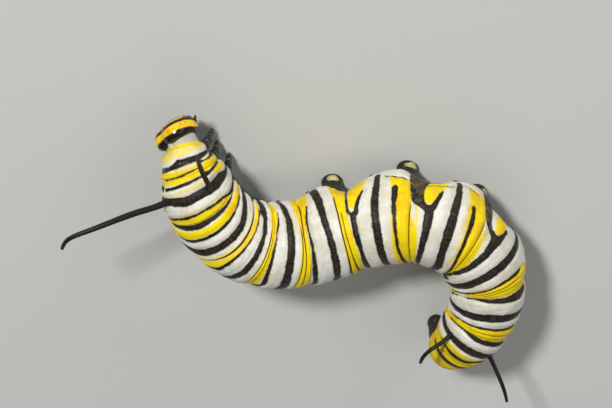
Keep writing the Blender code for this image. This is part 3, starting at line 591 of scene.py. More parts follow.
# Plain surfaces: the ground's colour, the cloud's colour, roughness, and size and depth of the grain.
PLAIN_CUTICLES = {
    # thin skin between the plates of the face: creamy and dull
    "mouth membrane": ("cream", "speck", 0.5, 0.1, 0.01),
    # small hardened plates: black with a soft shine, clouded with painted sheen
    "mouth cuticle": ("black", "painted_sheen", 0.3, 0.1, 0.01),
    "pore rim": ("black", "painted_sheen", 0.3, 0.1, 0.01),
    # the hardest cuticle: dark brown with a bright shine
    "jaw": ("jaw", "black", 0.2, 0.3, 0.01),
    "hook": ("jaw", "black", 0.3, 0.2, 0.01),
    # fleshy and finely wrinkled: satin black
    "filament cuticle": ("black", "black", 0.45, 0.15, 0.03),
}

# Sockets of Blender's Mix node for colours.
MIX_COVER = 0
MIX_UNDER = 6
MIX_OVER = 7
MIXED = 2

# Endings of the names on the two sides, with the sign of that side.
BOTH = (("_left", -1), ("_right", 1))
MIDDLE = (("", 1),)


def linear(code):
    """An sRGB hex colour as linear red, green and blue, and full cover. The standard's curve is a straight
    line near black, and a power of 2.4 above it."""
    shares = np.array([int(code[i:i + 2], 16) for i in (1, 3, 5)]) / 255
    return (*np.where(shares <= 0.04045, shares / 12.92, ((shares + 0.055) / 1.055) ** 2.4), 1.0)


def natural_spline(knots, values, at):
    """Natural cubic spline: each span is the cubic whose second derivative is straight between its knots."""
    steps = np.diff(knots)
    size = len(knots)
    system = np.eye(size)
    right = np.zeros((size, values.shape[1]))
    for i in range(1, size - 1):
        system[i, i - 1:i + 2] = steps[i - 1], 2 * (steps[i - 1] + steps[i]), steps[i]
        right[i] = 6 * ((values[i + 1] - values[i]) / steps[i] - (values[i] - values[i - 1]) / steps[i - 1])
    bend = np.linalg.solve(system, right)
    i = np.clip(np.searchsorted(knots, at, side="right") - 1, 0, size - 2)
    step = steps[i][:, None]
    after = (at - knots[i])[:, None]
    before = step - after
    return (
        (bend[i] * before**3 + bend[i + 1] * after**3) / (6 * step)
        + (values[i] / step - bend[i] * step / 6) * before
        + (values[i + 1] / step - bend[i + 1] * step / 6) * after
    )


def body_values(u):
    """The values of the body stations at these places, along a spline."""
    return natural_spline(STATIONS[:, 0], STATIONS[:, 1:], np.atleast_1d(np.asarray(u, float)))


def body_frames(u):
    """Centre, tailward, back and right directions: the back is straight up, less its part along the body."""
    u = np.atleast_1d(np.asarray(u, float))
    values = body_values(u)
    tailward = body_values(u + SMALL_STEP)[:, :3] - body_values(u - SMALL_STEP)[:, :3]
    tailward /= np.linalg.norm(tailward, axis=1)[:, None]
    up = np.array((0.0, 0.0, 1.0)) - tailward * tailward[:, 2:3]
    up /= np.linalg.norm(up, axis=1)[:, None]
    right = np.cross(-tailward, up)
    lean = np.radians(values[:, 4:5])
    back = up * np.cos(lean) + right * np.sin(lean)
    return values[:, :3], tailward, back, right * np.cos(lean) - up * np.sin(lean)


def wrapped(angle):
    """The same direction as an angle between minus half a turn and half a turn."""
    return (angle + math.pi) % (2 * math.pi) - math.pi


def hill(u, angle, at, degrees, height, long_half, wide_half):
    """A smooth low hill on both sides of the body: height times two bell curves."""
    away = (np.abs(angle) - math.radians(degrees)) / math.radians(wide_half)
    return height * np.exp(-(((u - at) / long_half) ** 2) - away**2)


def annulets(u, angle):
    """The small folds across each segment, in millimetres: bell-shaped grooves whose place sways by sines."""
    segment = np.floor(u)
    sway = sum(most * np.sin(times * angle + turn * segment) for most, times, turn in ANNULET_SWAY)
    depth = sum(
        deep * np.exp(-(((u - segment - place + sway) / half) ** 2)) for place, deep, half in ANNULETS
    )
    fade_in = np.clip((u - NECK_END) / ANNULET_FADE_IN, 0, 1)
    return -depth * fade_in * np.clip((ANNULETS_END - u) / ANNULET_FADE_OUT, 0, 1)


def body_points(u, angle, lift=0.0):
    """Points of the body in millimetres: its centre plus the half width along each spoke of a tipped ring."""
    u = np.atleast_1d(np.asarray(u, float))[:, None]
    angle = wrapped(np.atleast_1d(np.asarray(angle, float)))[None, :]
    centre, tailward, back, right = body_frames(u[:, 0])
    values = body_values(u[:, 0])
    belly = np.exp(-(((np.abs(angle) - math.pi) / math.radians(BELLY_HALF)) ** 2))
    domed = np.clip((u - TAIL_DOME[0]) / (TAIL_DOME[1] - TAIL_DOME[0]), 0, 1)
    radius = values[:, 3:4] * (1 - BELLY_FLAT * belly) * np.sqrt(1 - domed**2)
    nearest = np.clip(np.round(u), 1, len(SEGMENTS) - 1)
    radius = radius - FOLD_DEPTH * np.exp(-(((u - nearest) / FOLD_HALF) ** 2))
    for place in SWELLINGS:
        radius = radius + hill(u, angle, place + SWELL[0], *SWELL[1:])
        radius = radius + hill(u, angle, place + DRAW_IN[0], *DRAW_IN[1:])
    along = values[:, 5:6] * np.cos(angle) + values[:, 6:7] * np.sin(angle)
    spoke = (
        np.cos(angle)[..., None] * back[:, None]
        + np.sin(angle)[..., None] * right[:, None]
        + along[..., None] * tailward[:, None]
    )
    return centre[:, None] + (radius + lift)[..., None] * spoke


def turning(degrees, axis):
    """The matrix that turns by an angle round x, y or z."""
    c, s = math.cos(math.radians(degrees)), math.sin(math.radians(degrees))
    i, j = {"X": (1, 2), "Y": (2, 0), "Z": (0, 1)}[axis]
    matrix = np.eye(3)
    matrix[i, i] = matrix[j, j] = c
    matrix[i, j], matrix[j, i] = -s, s
    return matrix


HEAD_POSE = turning(HEAD_TURN, "Z") @ turning(-HEAD_LEAN, "Y") @ turning(-HEAD_NOD, "X")


def head_ways(out, around):
    """Directions from the head's middle: out from the face's axis, and round it from the top to the right."""
    out, around = np.broadcast_arrays(out, around)
    return np.stack([np.sin(out) * np.sin(around), np.cos(out), np.sin(out) * np.cos(around)], axis=-1)


def head_points(ways, lift=0.0):
    """The head in its own frame, in millimetres: a rounded box, whose powers of a point's shares of the half
    sizes sum to one, notched on top by a bell curve and narrowed below."""
    x, y, z = ways[..., 0], ways[..., 1], ways[..., 2]
    depth = np.where(y > 0, HEAD_FRONT, HEAD_BACK)
    shares = (np.abs(x) / HEAD_HALF_WIDTH, np.abs(y) / depth, np.abs(z) / HEAD_HALF_HEIGHT)
    reach = sum(share**HEAD_POWER for share in shares) ** (-1 / HEAD_POWER)
    top = np.maximum(z, 0) ** 2
    reach = reach * (1 - NOTCH_DEPTH * top * np.exp(-((x / NOTCH_HALF) ** 2)))
    points = ways * reach[..., None]
    points[..., 0] *= 1 - JAW_NARROW * np.maximum(-points[..., 2] / reach, 0) ** 2
    length = np.linalg.norm(points, axis=-1, keepdims=True)
    return points * (1 + np.asarray(lift)[..., None] / length)


def posed(points):
    """Points of the head's own frame, set where the head stands."""
    return points @ HEAD_POSE.T + HEAD_AT


def smooth(value):
    """Nought to one with level ends: 3t^2 - 2t^3."""
    value = np.clip(value, 0, 1)
    return value * value * (3 - 2 * value)


def cover(away, edge):
    """How much a band covers points so far outside it: 1 to 0 across an edge this wide."""
    return smooth(0.5 - away / edge)


def turns(count):
    """The angles of a ring's points, in radians."""
    return np.arange(count) * 2 * math.pi / count


def pole_to_pole(short, count):
    """The angles of a ball's rings from pole to pole, in radians, some degrees short of both poles."""
    return np.linspace(math.radians(short), math.radians(180 - short), count)[:, None]


def skin_points(u, angles, lift=0.0):
    """The body's rings, which step up at the collar from a neck of straight lines: each line runs from under
    the head's rear rim towards the ring at the neck's end, drawn in round its middle."""
    body = body_points(u, angles, lift)
    degrees = np.degrees(wrapped(angles))
    rim = NECK_RIM - NECK_RIM_CHANGE * np.cos(angles) - NECK_SIDE * np.sin(angles) ** 2
    rim = rim - NECK_NOTCH * np.exp(-((degrees / NECK_NOTCH_HALF) ** 2))
    front = posed(head_points(head_ways(np.radians(rim), angles), lift=-NECK_UNDER))
    end = body_points(NECK_END, angles)[0]
    end = end.mean(axis=0) + (end - end.mean(axis=0)) * NECK_SHARE
    share = np.clip((u - NECK_FRONT) / (NECK_END - NECK_FRONT), 0, 1)[:, None, None]
    neck = front + (end - front) * share
    edge = np.interp(degrees, *np.transpose(COLLAR_EDGE))[None, :]
    low, high = COLLAR_STEP
    blend = smooth((u[:, None] - edge - low) / (high - low))[..., None]
    return neck + (body - neck) * blend


def ring_places():
    """Places of the skin's rings, whose density is one plus a bell curve at every joint."""
    most, shift, half = RING_CROWD
    fine = np.linspace(NECK_FRONT, TAIL, RING_STEPS * SKIN_RINGS)
    away = fine - shift - np.round(fine - shift)
    count = np.cumsum(1 + most * np.exp(-((away / half) ** 2)) * (fine < TAIL_DOME[0]))
    return np.interp(np.linspace(count[0], count[-1], SKIN_RINGS), count, fine)


def tube_mesh(name, points, across=None, along=None):
    """A mesh of closed tubes: quads between their rings and a fan of triangles on each end, turned outwards
    by the sign of each tube's volume. The points are rings of one tube, or of many alike.

    With across and along, in millimetres, it gets a UV map that runs round the rings and along them.
    """
    points = points.reshape(-1, *points.shape[-3:])
    count, rows, columns, _ = points.shape
    ends = np.stack([points[:, 0].mean(axis=1), points[:, -1].mean(axis=1)], axis=1)
    vertices = np.concatenate([points.reshape(count, -1, 3), ends], axis=1)
    i = np.arange(rows - 1)[:, None, None] + np.array((0, 1, 1, 0))
    j = np.arange(columns)[None, :, None] + np.array((0, 0, 1, 1))
    i, j = np.broadcast_arrays(i, j)
    quads = (i * columns + j % columns).reshape(-1, 4)
    k = np.arange(columns)
    last = (rows - 1) * columns
    front = np.stack([np.full(columns, rows * columns), k, (k + 1) % columns], axis=-1)
    back = np.stack([np.full(columns, rows * columns + 1), last + (k + 1) % columns, last + k], axis=-1)
    corners = (vertices - vertices.mean(axis=1, keepdims=True))[:, quads]
    normals = np.cross(corners[:, :, 1] - corners[:, :, 0], corners[:, :, 2] - corners[:, :, 0])
    turned = (corners[:, :, 0] * normals).sum(axis=(1, 2))[:, None, None] < 0
    start = (np.arange(count) * vertices.shape[1])[:, None, None]
    faces = []
    for each in (quads, front, back):
        each = each[None] + start
        faces += np.where(turned, each[..., ::-1], each).reshape(-1, each.shape[-1]).tolist()
    mesh = bpy.data.meshes.new(name)
    mesh.from_pydata(((vertices.reshape(-1, 3) + ROOT_AT) * MM).tolist(), [], faces)
    if across is not None:
        step = across[1] - across[0]
        places = np.stack([across[0] + j * step, along[i]], axis=-1).reshape(-1, 4, 2)
        places = places[:, ::-1] if turned[0, 0, 0] else places
        caps = np.zeros((front.size + back.size, 2))
        layer = mesh.uv_layers.new(name="Skin")
        layer.data.foreach_set("uv", np.concatenate([places.reshape(-1, 2), caps]).astype(np.float32).ravel())
    mesh.shade_smooth()
    return mesh


def set_values(mesh, **values):
    """Numbers at every vertex of a single tube's mesh. Its two end points take the mean of their ring."""
    for name, value in values.items():
        value = np.asarray(value, float)
        flat = np.concatenate([value.reshape(-1), [value[0].mean(), value[-1].mean()]])
        mesh.attributes.new(name, "FLOAT", "POINT").data.foreach_set("value", flat.astype(np.float32))


def add_piece(name, mesh, surface, slot, *nodes):
    """The mesh as an object that rides on the body and stands for these nodes."""
    obj = bpy.data.objects.new(name, mesh)
    bpy.context.scene.collection.objects.link(obj)
    mesh.materials.append(surface)
    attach(obj, "root")
    if nodes:
        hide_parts(*nodes)
    return obj


def both_sides(rows):
    """Rows of a band with the shown side's rows repeated on the side that the photo doesn't show."""
    rows = sorted(rows)
    least, most = rows[0][0], rows[-1][0]
    if most > -least:
        rows = [(-a, *rest) for a, *rest in rows if a > max(-least, 0) + MIRROR_GAP] + rows
    else:
        rows = rows + [(-a, *rest) for a, *rest in rows if a < min(-most, 0) - MIRROR_GAP]
    return np.array(sorted(rows), float)


def band_distance(rows, u, degrees, length):
    """How far outside a band each point is, in millimetres: how far from its middle line, less half its
    width, and so below zero inside it."""
    table = both_sides(rows)
    front = np.interp(degrees, table[:, 0], table[:, 1])
    rear = np.interp(degrees, table[:, 0], table[:, 2])
    return (np.abs(u - (front + rear) / 2) - (rear - front) / 2) * length


def nearest_band(bands, u, degrees, length):
    """How far outside the nearest of these bands each point is, in millimetres: below zero inside it."""
    distance = np.full(np.broadcast_shapes(u.shape, degrees.shape), FAR)
    for rows in bands:
        distance = np.minimum(distance, band_distance(rows, u, degrees, length))
    return distance


def crease_distance(rows, u, degrees, length):
    """How far outside a thin crease each point is, in millimetres: how far from its line, less its half
    width."""
    table = both_sides(rows)
    place = np.interp(degrees, table[:, 0], table[:, 1])
    half = np.interp(degrees, table[:, 0], table[:, 2])
    return np.abs(u - place) * length - half


def side_folds(u, degrees, places):
    """Millimetres from the nearest fold along a side, with a sign, less what its line is wider than the
    least half width, and how far that fold shows, from 0 to 1."""
    width = math.radians(1) * body_values(places)[:, 3:4]
    distance = np.full((len(places), degrees.shape[1]), FAR)
    share = np.zeros(distance.shape)
    for rows in SIDE_FOLDS:
        at, angle, half = np.transpose(rows)
        here = smooth((u - at[0]) / SIDE_FOLD_FADE) * smooth((at[-1] - u) / SIDE_FOLD_FADE)
        away = (np.abs(degrees) - np.interp(u, at, angle)) * width
        away = np.sign(away) * np.maximum(np.abs(away) - np.interp(u, at, half) + SIDE_FOLD_HALF, 0)
        distance = np.where((u > at[0]) & (u < at[-1]), away, distance)
        share = np.maximum(share, here)
    return distance, share


def add_node(tree, kind, inputs=None, output=0, **settings):
    """Adds a node with its settings, sets or links its inputs, and returns one of its outputs."""
    node = tree.nodes.new(kind)
    for name, value in settings.items():
        setattr(node, name, value)
    for key, value in (inputs or {}).items():
        if isinstance(value, bpy.types.NodeSocket):
            tree.links.new(value, node.inputs[key])
        else:
            node.inputs[key].default_value = value
    return node.outputs[output] if node.outputs else None


def new_material(name, *attributes):
    """An empty material's tree, its object coordinates, and the vertex values that it reads."""
    surface = bpy.data.materials.new(name)
    surface.use_nodes = True
    tree = surface.node_tree
    tree.nodes.clear()
    place = add_node(tree, "ShaderNodeTexCoord", output="Object")
    values = [add_node(tree, "ShaderNodeAttribute", output="Fac", attribute_name=each) for each in attributes]
    return surface, tree, place, values


def painted(tree, colour, *layers):
    """A colour with others laid over it. Each layer is a tone, the value that draws it, and its colour."""
    for tone, value, over in layers:
        low, high, most = TONES[tone]
        limits = {"Value": value, "From Min": low, "From Max": high, "To Max": most}
        share = add_node(tree, "ShaderNodeMapRange", limits, interpolation_type="SMOOTHSTEP")
        inputs = {MIX_COVER: share, MIX_UNDER: colour, MIX_OVER: over}
        colour = add_node(tree, "ShaderNodeMix", inputs, MIXED, data_type="RGBA")
    return colour


def ragged(tree, edge, distance, noise):
    """A distance moved in and out by a noise whose mean is a half, so that the edge drawn from it wavers."""
    amount = WAVER[edge]
    moved = add_node(tree, "ShaderNodeMath", {0: noise, 1: amount, 2: -amount / 2}, operation="MULTIPLY_ADD")
    return add_node(tree, "ShaderNodeMath", {0: distance, 1: moved})


def cuticle(surface, tree, colour, relief, depth_mm, settings):
    """Finishes a material: a principled surface with this colour, and a relief so many millimetres deep."""
    bump = add_node(tree, "ShaderNodeBump", {"Height": relief, "Strength": 1.0, "Distance": depth_mm * MM})
    shader = add_node(tree, "ShaderNodeBsdfPrincipled", {"Base Color": colour, "Normal": bump, **settings})
    add_node(tree, "ShaderNodeOutputMaterial", {"Surface": shader})
    return surface


def skin_surface(colours):
    """Larval cuticle: soft and faintly waxy, with pigment bands whose edges are slightly ragged, fine streaks
    along the body, which paint a grey sheen on the black and roughen its relief, and fine wrinkles across it.
    Painted shade darkens its deep grooves and tail, and deepens its creases, side folds and part of its dark
    underside; its neck is darkened too."""
    surface, tree, place, values = new_material(
        "larval cuticle",
        "black_mm", "crease", "fold_mm", "fold_share", "yellow", "brown", "belly", "shade", "gloss",
    )
    black, crease, fold, fold_share, yellow, brown, belly, shade, gloss = values
    mottle, blots, fine = (
        add_node(tree, "ShaderNodeTexNoise", {"Vector": place, "Scale": 1 / (size * MM), **SKIN_NOISE})
        for size in SKIN_GRAINS
    )
    flat = add_node(tree, "ShaderNodeUVMap", uv_map="Skin")
    streaks, wrinkles = (
        add_node(tree, "ShaderNodeTexNoise", {
            "Vector": add_node(tree, "ShaderNodeMapping", {
                "Vector": flat, "Scale": (1 / across, 1 / along, 1.0),
            }),
            "Scale": 1.0, **SKIN_NOISE,
        })
        for across, along in (STREAK_SIZE, WRINKLE_SIZE)
    )
    black = ragged(tree, "band's specks", ragged(tree, "band", black, blots), fine)
    fold = add_node(tree, "ShaderNodeMath", {0: ragged(tree, "fold", fold, fine)}, operation="ABSOLUTE")
    fold = add_node(tree, "ShaderNodeMapRange", {
        "Value": fold, "From Min": SIDE_FOLD_HALF * 2, "From Max": SIDE_FOLD_HALF, "To Max": fold_share,
    })
    mottled = add_node(tree, "ShaderNodeMath", {0: brown, 1: blots}, operation="MULTIPLY")
    # the black: a painted grey sheen along the streaks, kept off the rims so that they stay darker, and olive
    # brown in the mottled patches
    dark = painted(
        tree, colours.black,
        ("painted_sheen", streaks, colours.painted_sheen),
        ("band rim", black, colours.black),
        ("olive", mottled, colours.olive),
    )
    colour = painted(
        tree, colours.white,
        ("cream", mottle, colours.cream),
        ("speck", fine, colours.speck),
        ("faint yellow", ragged(tree, "faint yellow", yellow, blots), colours.yellow),
    )
    gold = painted(tree, colour, ("deep yellow", mottle, colours.deep_yellow))
    colour = painted(
        tree, colour,
        ("yellow", yellow, gold),
        # the dark underside, partly painted shade
        ("belly", ragged(tree, "belly", belly, mottle), colours.belly),
        # painted shade in the deep grooves and on the tail, and the neck's darkening
        ("shade", shade, colours.crease),
        # the creases: partly their own dark line, partly painted shade of their folds
        ("crease", ragged(tree, "crease", crease, fine), colours.crease),
        # the side folds: partly their own dark line, partly painted shade
        ("fold", fold, colours.crease),
        ("band halo", black, colours.crease),
        ("band", black, dark),
    )
    relief = add_node(tree, "ShaderNodeMath", {0: streaks, 1: wrinkles})
    relief = add_node(tree, "ShaderNodeMath", {0: fine, 1: SPECK_RELIEF, 2: relief}, operation="MULTIPLY_ADD")
    limits = {"Value": gloss, "To Min": SKIN_ROUGHNESS, "To Max": PLATE_ROUGHNESS}
    return cuticle(surface, tree, colour, relief, RELIEF["skin"], {
        "Roughness": add_node(tree, "ShaderNodeMapRange", limits), "IOR": 1.45, "Specular IOR Level": 0.3,
        "Subsurface Weight": 0.10, "Subsurface Scale": 0.5 * MM,
    })


def shell_surface(colours):
    """Sclerotised head shell: hard, smooth and glossy, black with mottled orange-yellow bands under the
    gloss."""
    surface, tree, place, (yellow, pale) = new_material("glossy head shell", "yellow_mm", "pale_mm")
    blots, fine = (
        add_node(tree, "ShaderNodeTexNoise", {"Vector": place, "Scale": 1 / (size * MM), "Detail": 3.0})
        for size in SHELL_GRAINS
    )
    gold = painted(tree, colours.head_yellow, ("head orange", blots, colours.head_orange))
    colour = painted(
        tree, colours.black,
        ("head band", ragged(tree, "head band", yellow, blots), gold),
        ("seam", ragged(tree, "seam", pale, fine), colours.cream),
    )
    return cuticle(surface, tree, colour, fine, RELIEF["shell"], {"Roughness": 0.22, "IOR": 1.52})


def plain_surface(name, colours):
    """Cuticle of one colour, clouded with another, with a grain that breaks up its shine."""
    ground, clouds, roughness, grain_mm, depth_mm = PLAIN_CUTICLES[name]
    surface, tree, place, _ = new_material(name)
    cloud, grain = (
        add_node(tree, "ShaderNodeTexNoise", {"Vector": place, "Scale": 1 / (size * MM), "Detail": 4.0})
        for size in (CLOUD_GRAIN, grain_mm)
    )
    colour = painted(tree, getattr(colours, ground), ("cloud", cloud, getattr(colours, clouds)))
    settings = {"Roughness": roughness, "IOR": 1.5, "Specular IOR Level": 0.35}
    return cuticle(surface, tree, colour, grain, depth_mm, settings)


def leg_surface(colours):
    """Cuticle of the true legs: hard, black and glossy, with greyish membrane in the joints' grooves, painted
    pale enough to stand in for the legs' highlights as well.
    """
    surface, tree, place, (joint,) = new_material("glossy leg cuticle", "joint")
    noise = {"Vector": place, "Scale": 1 / (LEG_GRAIN * MM), "Detail": 3.0}
    grain = add_node(tree, "ShaderNodeTexNoise", noise)
    # pale grey joints: membrane, and partly painted highlight
    colour = painted(tree, colours.black, ("membrane", ragged(tree, "membrane", joint, grain), colours.speck))
    settings = {"Roughness": 0.16, "IOR": 1.5, "Specular IOR Level": 0.5}
    return cuticle(surface, tree, colour, grain, RELIEF["leg"], settings)


def foot_surface(colours):
    """Proleg cuticle: black and leathery, with a painted sheen in specks of its grain, and a pale yellowish
    plate low on its outer side.
    """
    surface, tree, place, (plate,) = new_material("leathery proleg cuticle", "plate_mm")
    blots, grain = (
        add_node(tree, "ShaderNodeTexNoise", {"Vector": place, "Scale": 1 / (size * MM), "Detail": 4.0})
        for size in FOOT_GRAINS
    )
    colour = painted(
        tree, colours.black,
        # painted sheen in the grain's specks
        ("foot sheen", grain, colours.painted_sheen),
        ("plate", ragged(tree, "plate", plate, blots), painted(
            tree, colours.plate, ("plate cream", blots, colours.cream))),
    )
    return cuticle(surface, tree, colour, grain, RELIEF["foot"], {"Roughness": 0.38, "IOR": 1.48})


def floor_surface(colours):
    """Matt pale card, with a faint tooth."""
    surface, tree, place, _ = new_material("matt pale card")
    noise = {"Vector": place, "Scale": 1 / (FLOOR_GRAIN * MM), "Detail": 3.0}
    tooth = add_node(tree, "ShaderNodeTexNoise", noise)
    return cuticle(surface, tree, colours.floor, tooth, RELIEF["floor"], {"Roughness": 0.8})


def colour_property(name, code, description):
    """A colour setting, whose default is this sRGB hex colour."""
    return FloatVectorProperty(
        name=name, description=description, subtype="COLOR", size=4, default=linear(code)
    )


class LarvaColours(bpy.types.PropertyGroup):
    """Colours of the larva and of the card under it."""

    white: colour_property("White", "#EBE9DE", "White of the skin's bands")
    cream: colour_property("Cream", "#DAD5BF", "Creamy tone in the white")
    speck: colour_property("Speck", "#B7B4A4", "Fine grey specks in the white")
    yellow: colour_property("Yellow", "#F8DB00", "Yellow of the skin's bands")
    deep_yellow: colour_property("Deep yellow", "#EDBE00", "Deeper tone in the yellow")
    # brown of the creases, also used for painted shade in the grooves, creases, side folds and on the tail,
    # for the neck's darkening, and for the brown fringe round the black bands
    crease: colour_property("Crease", "#33230F", "Brown of the thin creases")
    black: colour_property("Black", "#150F0A", "Brownish black of the bands")
    # the grey of a painted sheen on the black bands, the prolegs and the small plates
    painted_sheen: colour_property("Sheen", "#443A28", "Grey of the fine streaks in the black")
    olive: colour_property("Olive", "#6B6040", "Olive brown in the side's dark patches")
    # dark underside, partly painted shade
    belly: colour_property("Belly", "#292420", "Dark underside")
    head_yellow: colour_property("Head yellow", "#F9CC00", "Yellow of the head's bands")
    head_orange: colour_property("Head orange", "#E59C00", "Orange tone in the head's bands")
    plate: colour_property("Proleg plate", "#B9AC6A", "Pale plate on each proleg")
    jaw: colour_property("Jaw", "#3A1C10", "Dark brown of the jaws")
    floor: colour_property("Floor", "#D2D2CC", "Pale card under the larva")


class LarvaSizes(bpy.types.PropertyGroup):
    """What can be changed in the skin's shape."""

    fold_lift: FloatProperty(
        name="Fine folds", description="Strength of the skin's fine folds", subtype="FACTOR",
        default=1.0, min=0.0, max=2.0,
    )


class LARVA_OT_skin(bpy.types.Operator):
    """Makes the banded skin over the thorax and the abdomen."""

    bl_idname = "larva.skin"
    bl_label = "Skin"

    def execute(self, context):
        angles = (np.arange(SKIN_SIDES) / SKIN_SIDES * 2 - 1) * math.pi
        places = ring_places()
        plain = skin_points(places, angles)
        length = np.linalg.norm(np.gradient(plain, places, axis=0), axis=2)
        degrees = np.degrees(angles)[None]
        grid = (places[:, None], degrees, length)
        u = grid[0]
        black = nearest_band(BLACK_BANDS, *grid)
        near = np.abs(black)
        crease = np.zeros(length.shape)
        for rows in CREASES:
            away = np.maximum(crease_distance(rows, *grid), 0)
            crease = np.maximum(crease, np.exp(-((away / CREASE_SOFT) ** 2)))
            near = np.minimum(near, away)
        fold, fold_share = side_folds(u, degrees, places)
        near = np.minimum(near, np.where(fold_share > SIDE_FOLD_COUNTS, np.abs(fold), FAR))
        # the relief: how far the skin lies out from the body's rings
        lift = annulets(u, angles[None]) * context.scene.larva_sizes.fold_lift
        lift = lift - CREASE_DEPTH * crease - BAND_RISE * np.exp(-((near / BAND_RISE_HALF) ** 2))
        lift = lift - BLACK_DEPTH * cover(black, BLACK_EDGE)
        lift = lift - SIDE_FOLD_DEPTH * fold_share * np.exp(-((fold / BLACK_EDGE) ** 2))
        # the values that draw the tones
        wash = cover(nearest_band(YELLOW_WASHES, *grid), WASH_EDGE) * WASH_MOST
        # painted shade in the deep grooves and on the tail, and the darkening of the neck
        neck_share, neck_fade = NECK_SHADE
        tail_share, tail_at, tail_fade = TAIL_SHADE
        start, fade = GROOVE_SHADE
        neck = smooth((np.interp(degrees, *np.transpose(COLLAR_EDGE)) + COLLAR_STEP[0] - u) / neck_fade)
        shade = np.maximum(smooth((-lift - start) / fade), neck_share * neck)
        # the dark underside, partly the skin's own and partly painted shade
        belly = np.abs(degrees) - np.interp(u, *np.transpose(BELLY_AND_SHADE_EDGE))
        across = angles * body_values(WIDEST_AT)[0, 3]
        along = np.cumsum(length[:, SKIN_SIDES // 2] * np.gradient(places))
        mesh = tube_mesh("larva_skin", skin_points(places, angles, lift), across, along)
        set_values(
            mesh,
            black_mm=black,
            crease=crease,
            fold_mm=fold,
            fold_share=fold_share,
            brown=cover(nearest_band(BROWN_PATCHES, *grid), YELLOW_EDGE),
            yellow=np.maximum(cover(nearest_band(YELLOW_BANDS, *grid), YELLOW_EDGE), wash),
            belly=smooth(belly / BELLY_FADE),
            shade=np.maximum(shade, tail_share * smooth((u - tail_at) / tail_fade)),
            gloss=cover(nearest_band(BLACK_BANDS[:1], *grid), BLACK_EDGE),
        )
        surface = skin_surface(context.scene.larva_colours)
        add_piece("larva_skin", mesh, surface, "banded_skin", *SEGMENTS)
        return {"FINISHED"}


def seam_distance(points, start, end):
    """How far points of the face are from a seam and its mirror image, in the plane of the face."""
    flat = np.stack([np.abs(points[..., 0]), points[..., 2]], axis=-1) - start
    line = np.subtract(end, start)
    share = np.clip((flat @ line) / (line @ line), 0, 1)
    return np.linalg.norm(flat - share[..., None] * line, axis=-1)


def lump_points(at, half, power):
    """A rounded block in the head's frame: the powers of a point's shares of the half sizes sum to one."""
    ways = head_ways(pole_to_pole(LUMP_POLE, LUMP_RINGS), turns(LUMP_SIDES)[None])
    reach = ((np.abs(ways) / half) ** power).sum(axis=-1) ** (-1 / power)
    return posed(at + ways * reach[..., None])


class LARVA_OT_head(bpy.types.Operator):
    """Makes the head shell, the parts round the mouth, the simple eyes and the antennae."""

    bl_idname = "larva.head"
    bl_label = "Head"

    def execute(self, context):
        colours = context.scene.larva_colours
        out = pole_to_pole(HEAD_POLE, HEAD_RINGS)
        around = turns(HEAD_SIDES)[None]
        ways = head_ways(out, around)
        points = head_points(ways)
        seam = np.minimum(*(seam_distance(points, *ends) for ends in SEAMS))
        seam = np.where((points[..., 1] > 0) | (points[..., 2] > 0), seam, FAR)
        points = head_points(ways, -SEAM_DEPTH * np.exp(-((seam / SEAM_HALF) ** 2)))
        degrees = np.abs(np.degrees(wrapped(around)))
        mesh = tube_mesh("head_shell", posed(points))
        set_values(
            mesh,
            yellow_mm=nearest_band(
                HEAD_YELLOW, np.degrees(out), degrees, HEAD_HALF_HEIGHT * math.radians(1)
            ),
            pale_mm=np.where(points[..., 1] > HEAD_BACK * SEAM_BACK, seam - SEAM_PALE, FAR),
        )
        add_piece("head_shell", mesh, shell_surface(colours), "head_shell", "head")
        surfaces = {name: plain_surface(name, colours) for name in ("mouth membrane", "mouth cuticle", "jaw")}
        for part, at, half, power, surface in MOUTH:
            for side, sign in BOTH if at[0] else MIDDLE:
                mesh = tube_mesh(part + side, lump_points(np.array(at) * (sign, 1, 1), half, power))
                add_piece(part + side, mesh, surfaces[surface], "glossy_cuticle")
        middles = [
            posed(head_points(head_ways(math.radians(far), sign * math.radians(turn))[None], -EYE_SUNK))[0]
            for turn, far in EYES for sign in (-1, 1)
        ]
        ball = head_ways(pole_to_pole(EYE_POLE, EYE_RINGS), turns(EYE_SIDES)[None])
        mesh = tube_mesh("simple_eyes", np.array(middles)[:, None, None] + ball * EYE_RADIUS)
        add_piece("simple_eyes", mesh, surfaces["mouth cuticle"], "glossy_cuticle")
        for side, sign in BOTH:
            node = "antenna" + side
            path = np.array(ANTENNA_POINTS)
            path[:, :3] = posed(path[:, :3] * (sign, 1, 1))
            mesh = tube_mesh(node + "_skin", line_points(path, ANTENNA_RINGS, ANTENNA_SIDES))
            add_piece(node + "_skin", mesh, surfaces["mouth cuticle"], "black_cuticle", node)
        return {"FINISHED"}


def drawn_in(heights, folds):
    """How much less the radius is at each height: a bell curve at every fold."""
    return sum(deep * np.exp(-(((heights - at) / half) ** 2)) for at, deep, half in folds)


def limb_frame(at, sign):
    """The body's centre above a limb, and the level directions out of the body and forward along it."""
    centre, tailward, _, _ = body_frames(at)
    along = -tailward[0] * (1, 1, 0)
    along /= np.linalg.norm(along)
    return centre[0] * (1, 1, 0), sign * np.cross(along, (0.0, 0.0, 1.0)), along


def limb_points(at, sign, rings, folds):
    """Level rings from the sole up into the body, through a spline of their sizes, drawn in at the folds."""
    table = np.array(rings)
    heights = table[:, 0]
    fine = natural_spline(heights, table, np.linspace(heights[0], heights[-1], LIMB_RINGS))
    fine[:, 2:4] *= 1 - drawn_in(fine[:, :1], folds) / np.maximum(fine[:, 2:4], LEAST_RADIUS)
    middle, outward, along = limb_frame(at, sign)
    turn = turns(LIMB_SIDES)[None, :, None]
    middle = middle + outward * fine[:, 1:2] + along * fine[:, 4:5]
    middle[:, 2] = fine[:, 0]
    return (
        middle[:, None]
        + fine[:, 2, None, None] * np.cos(turn) * outward
        + fine[:, 3, None, None] * np.sin(turn) * along
    )


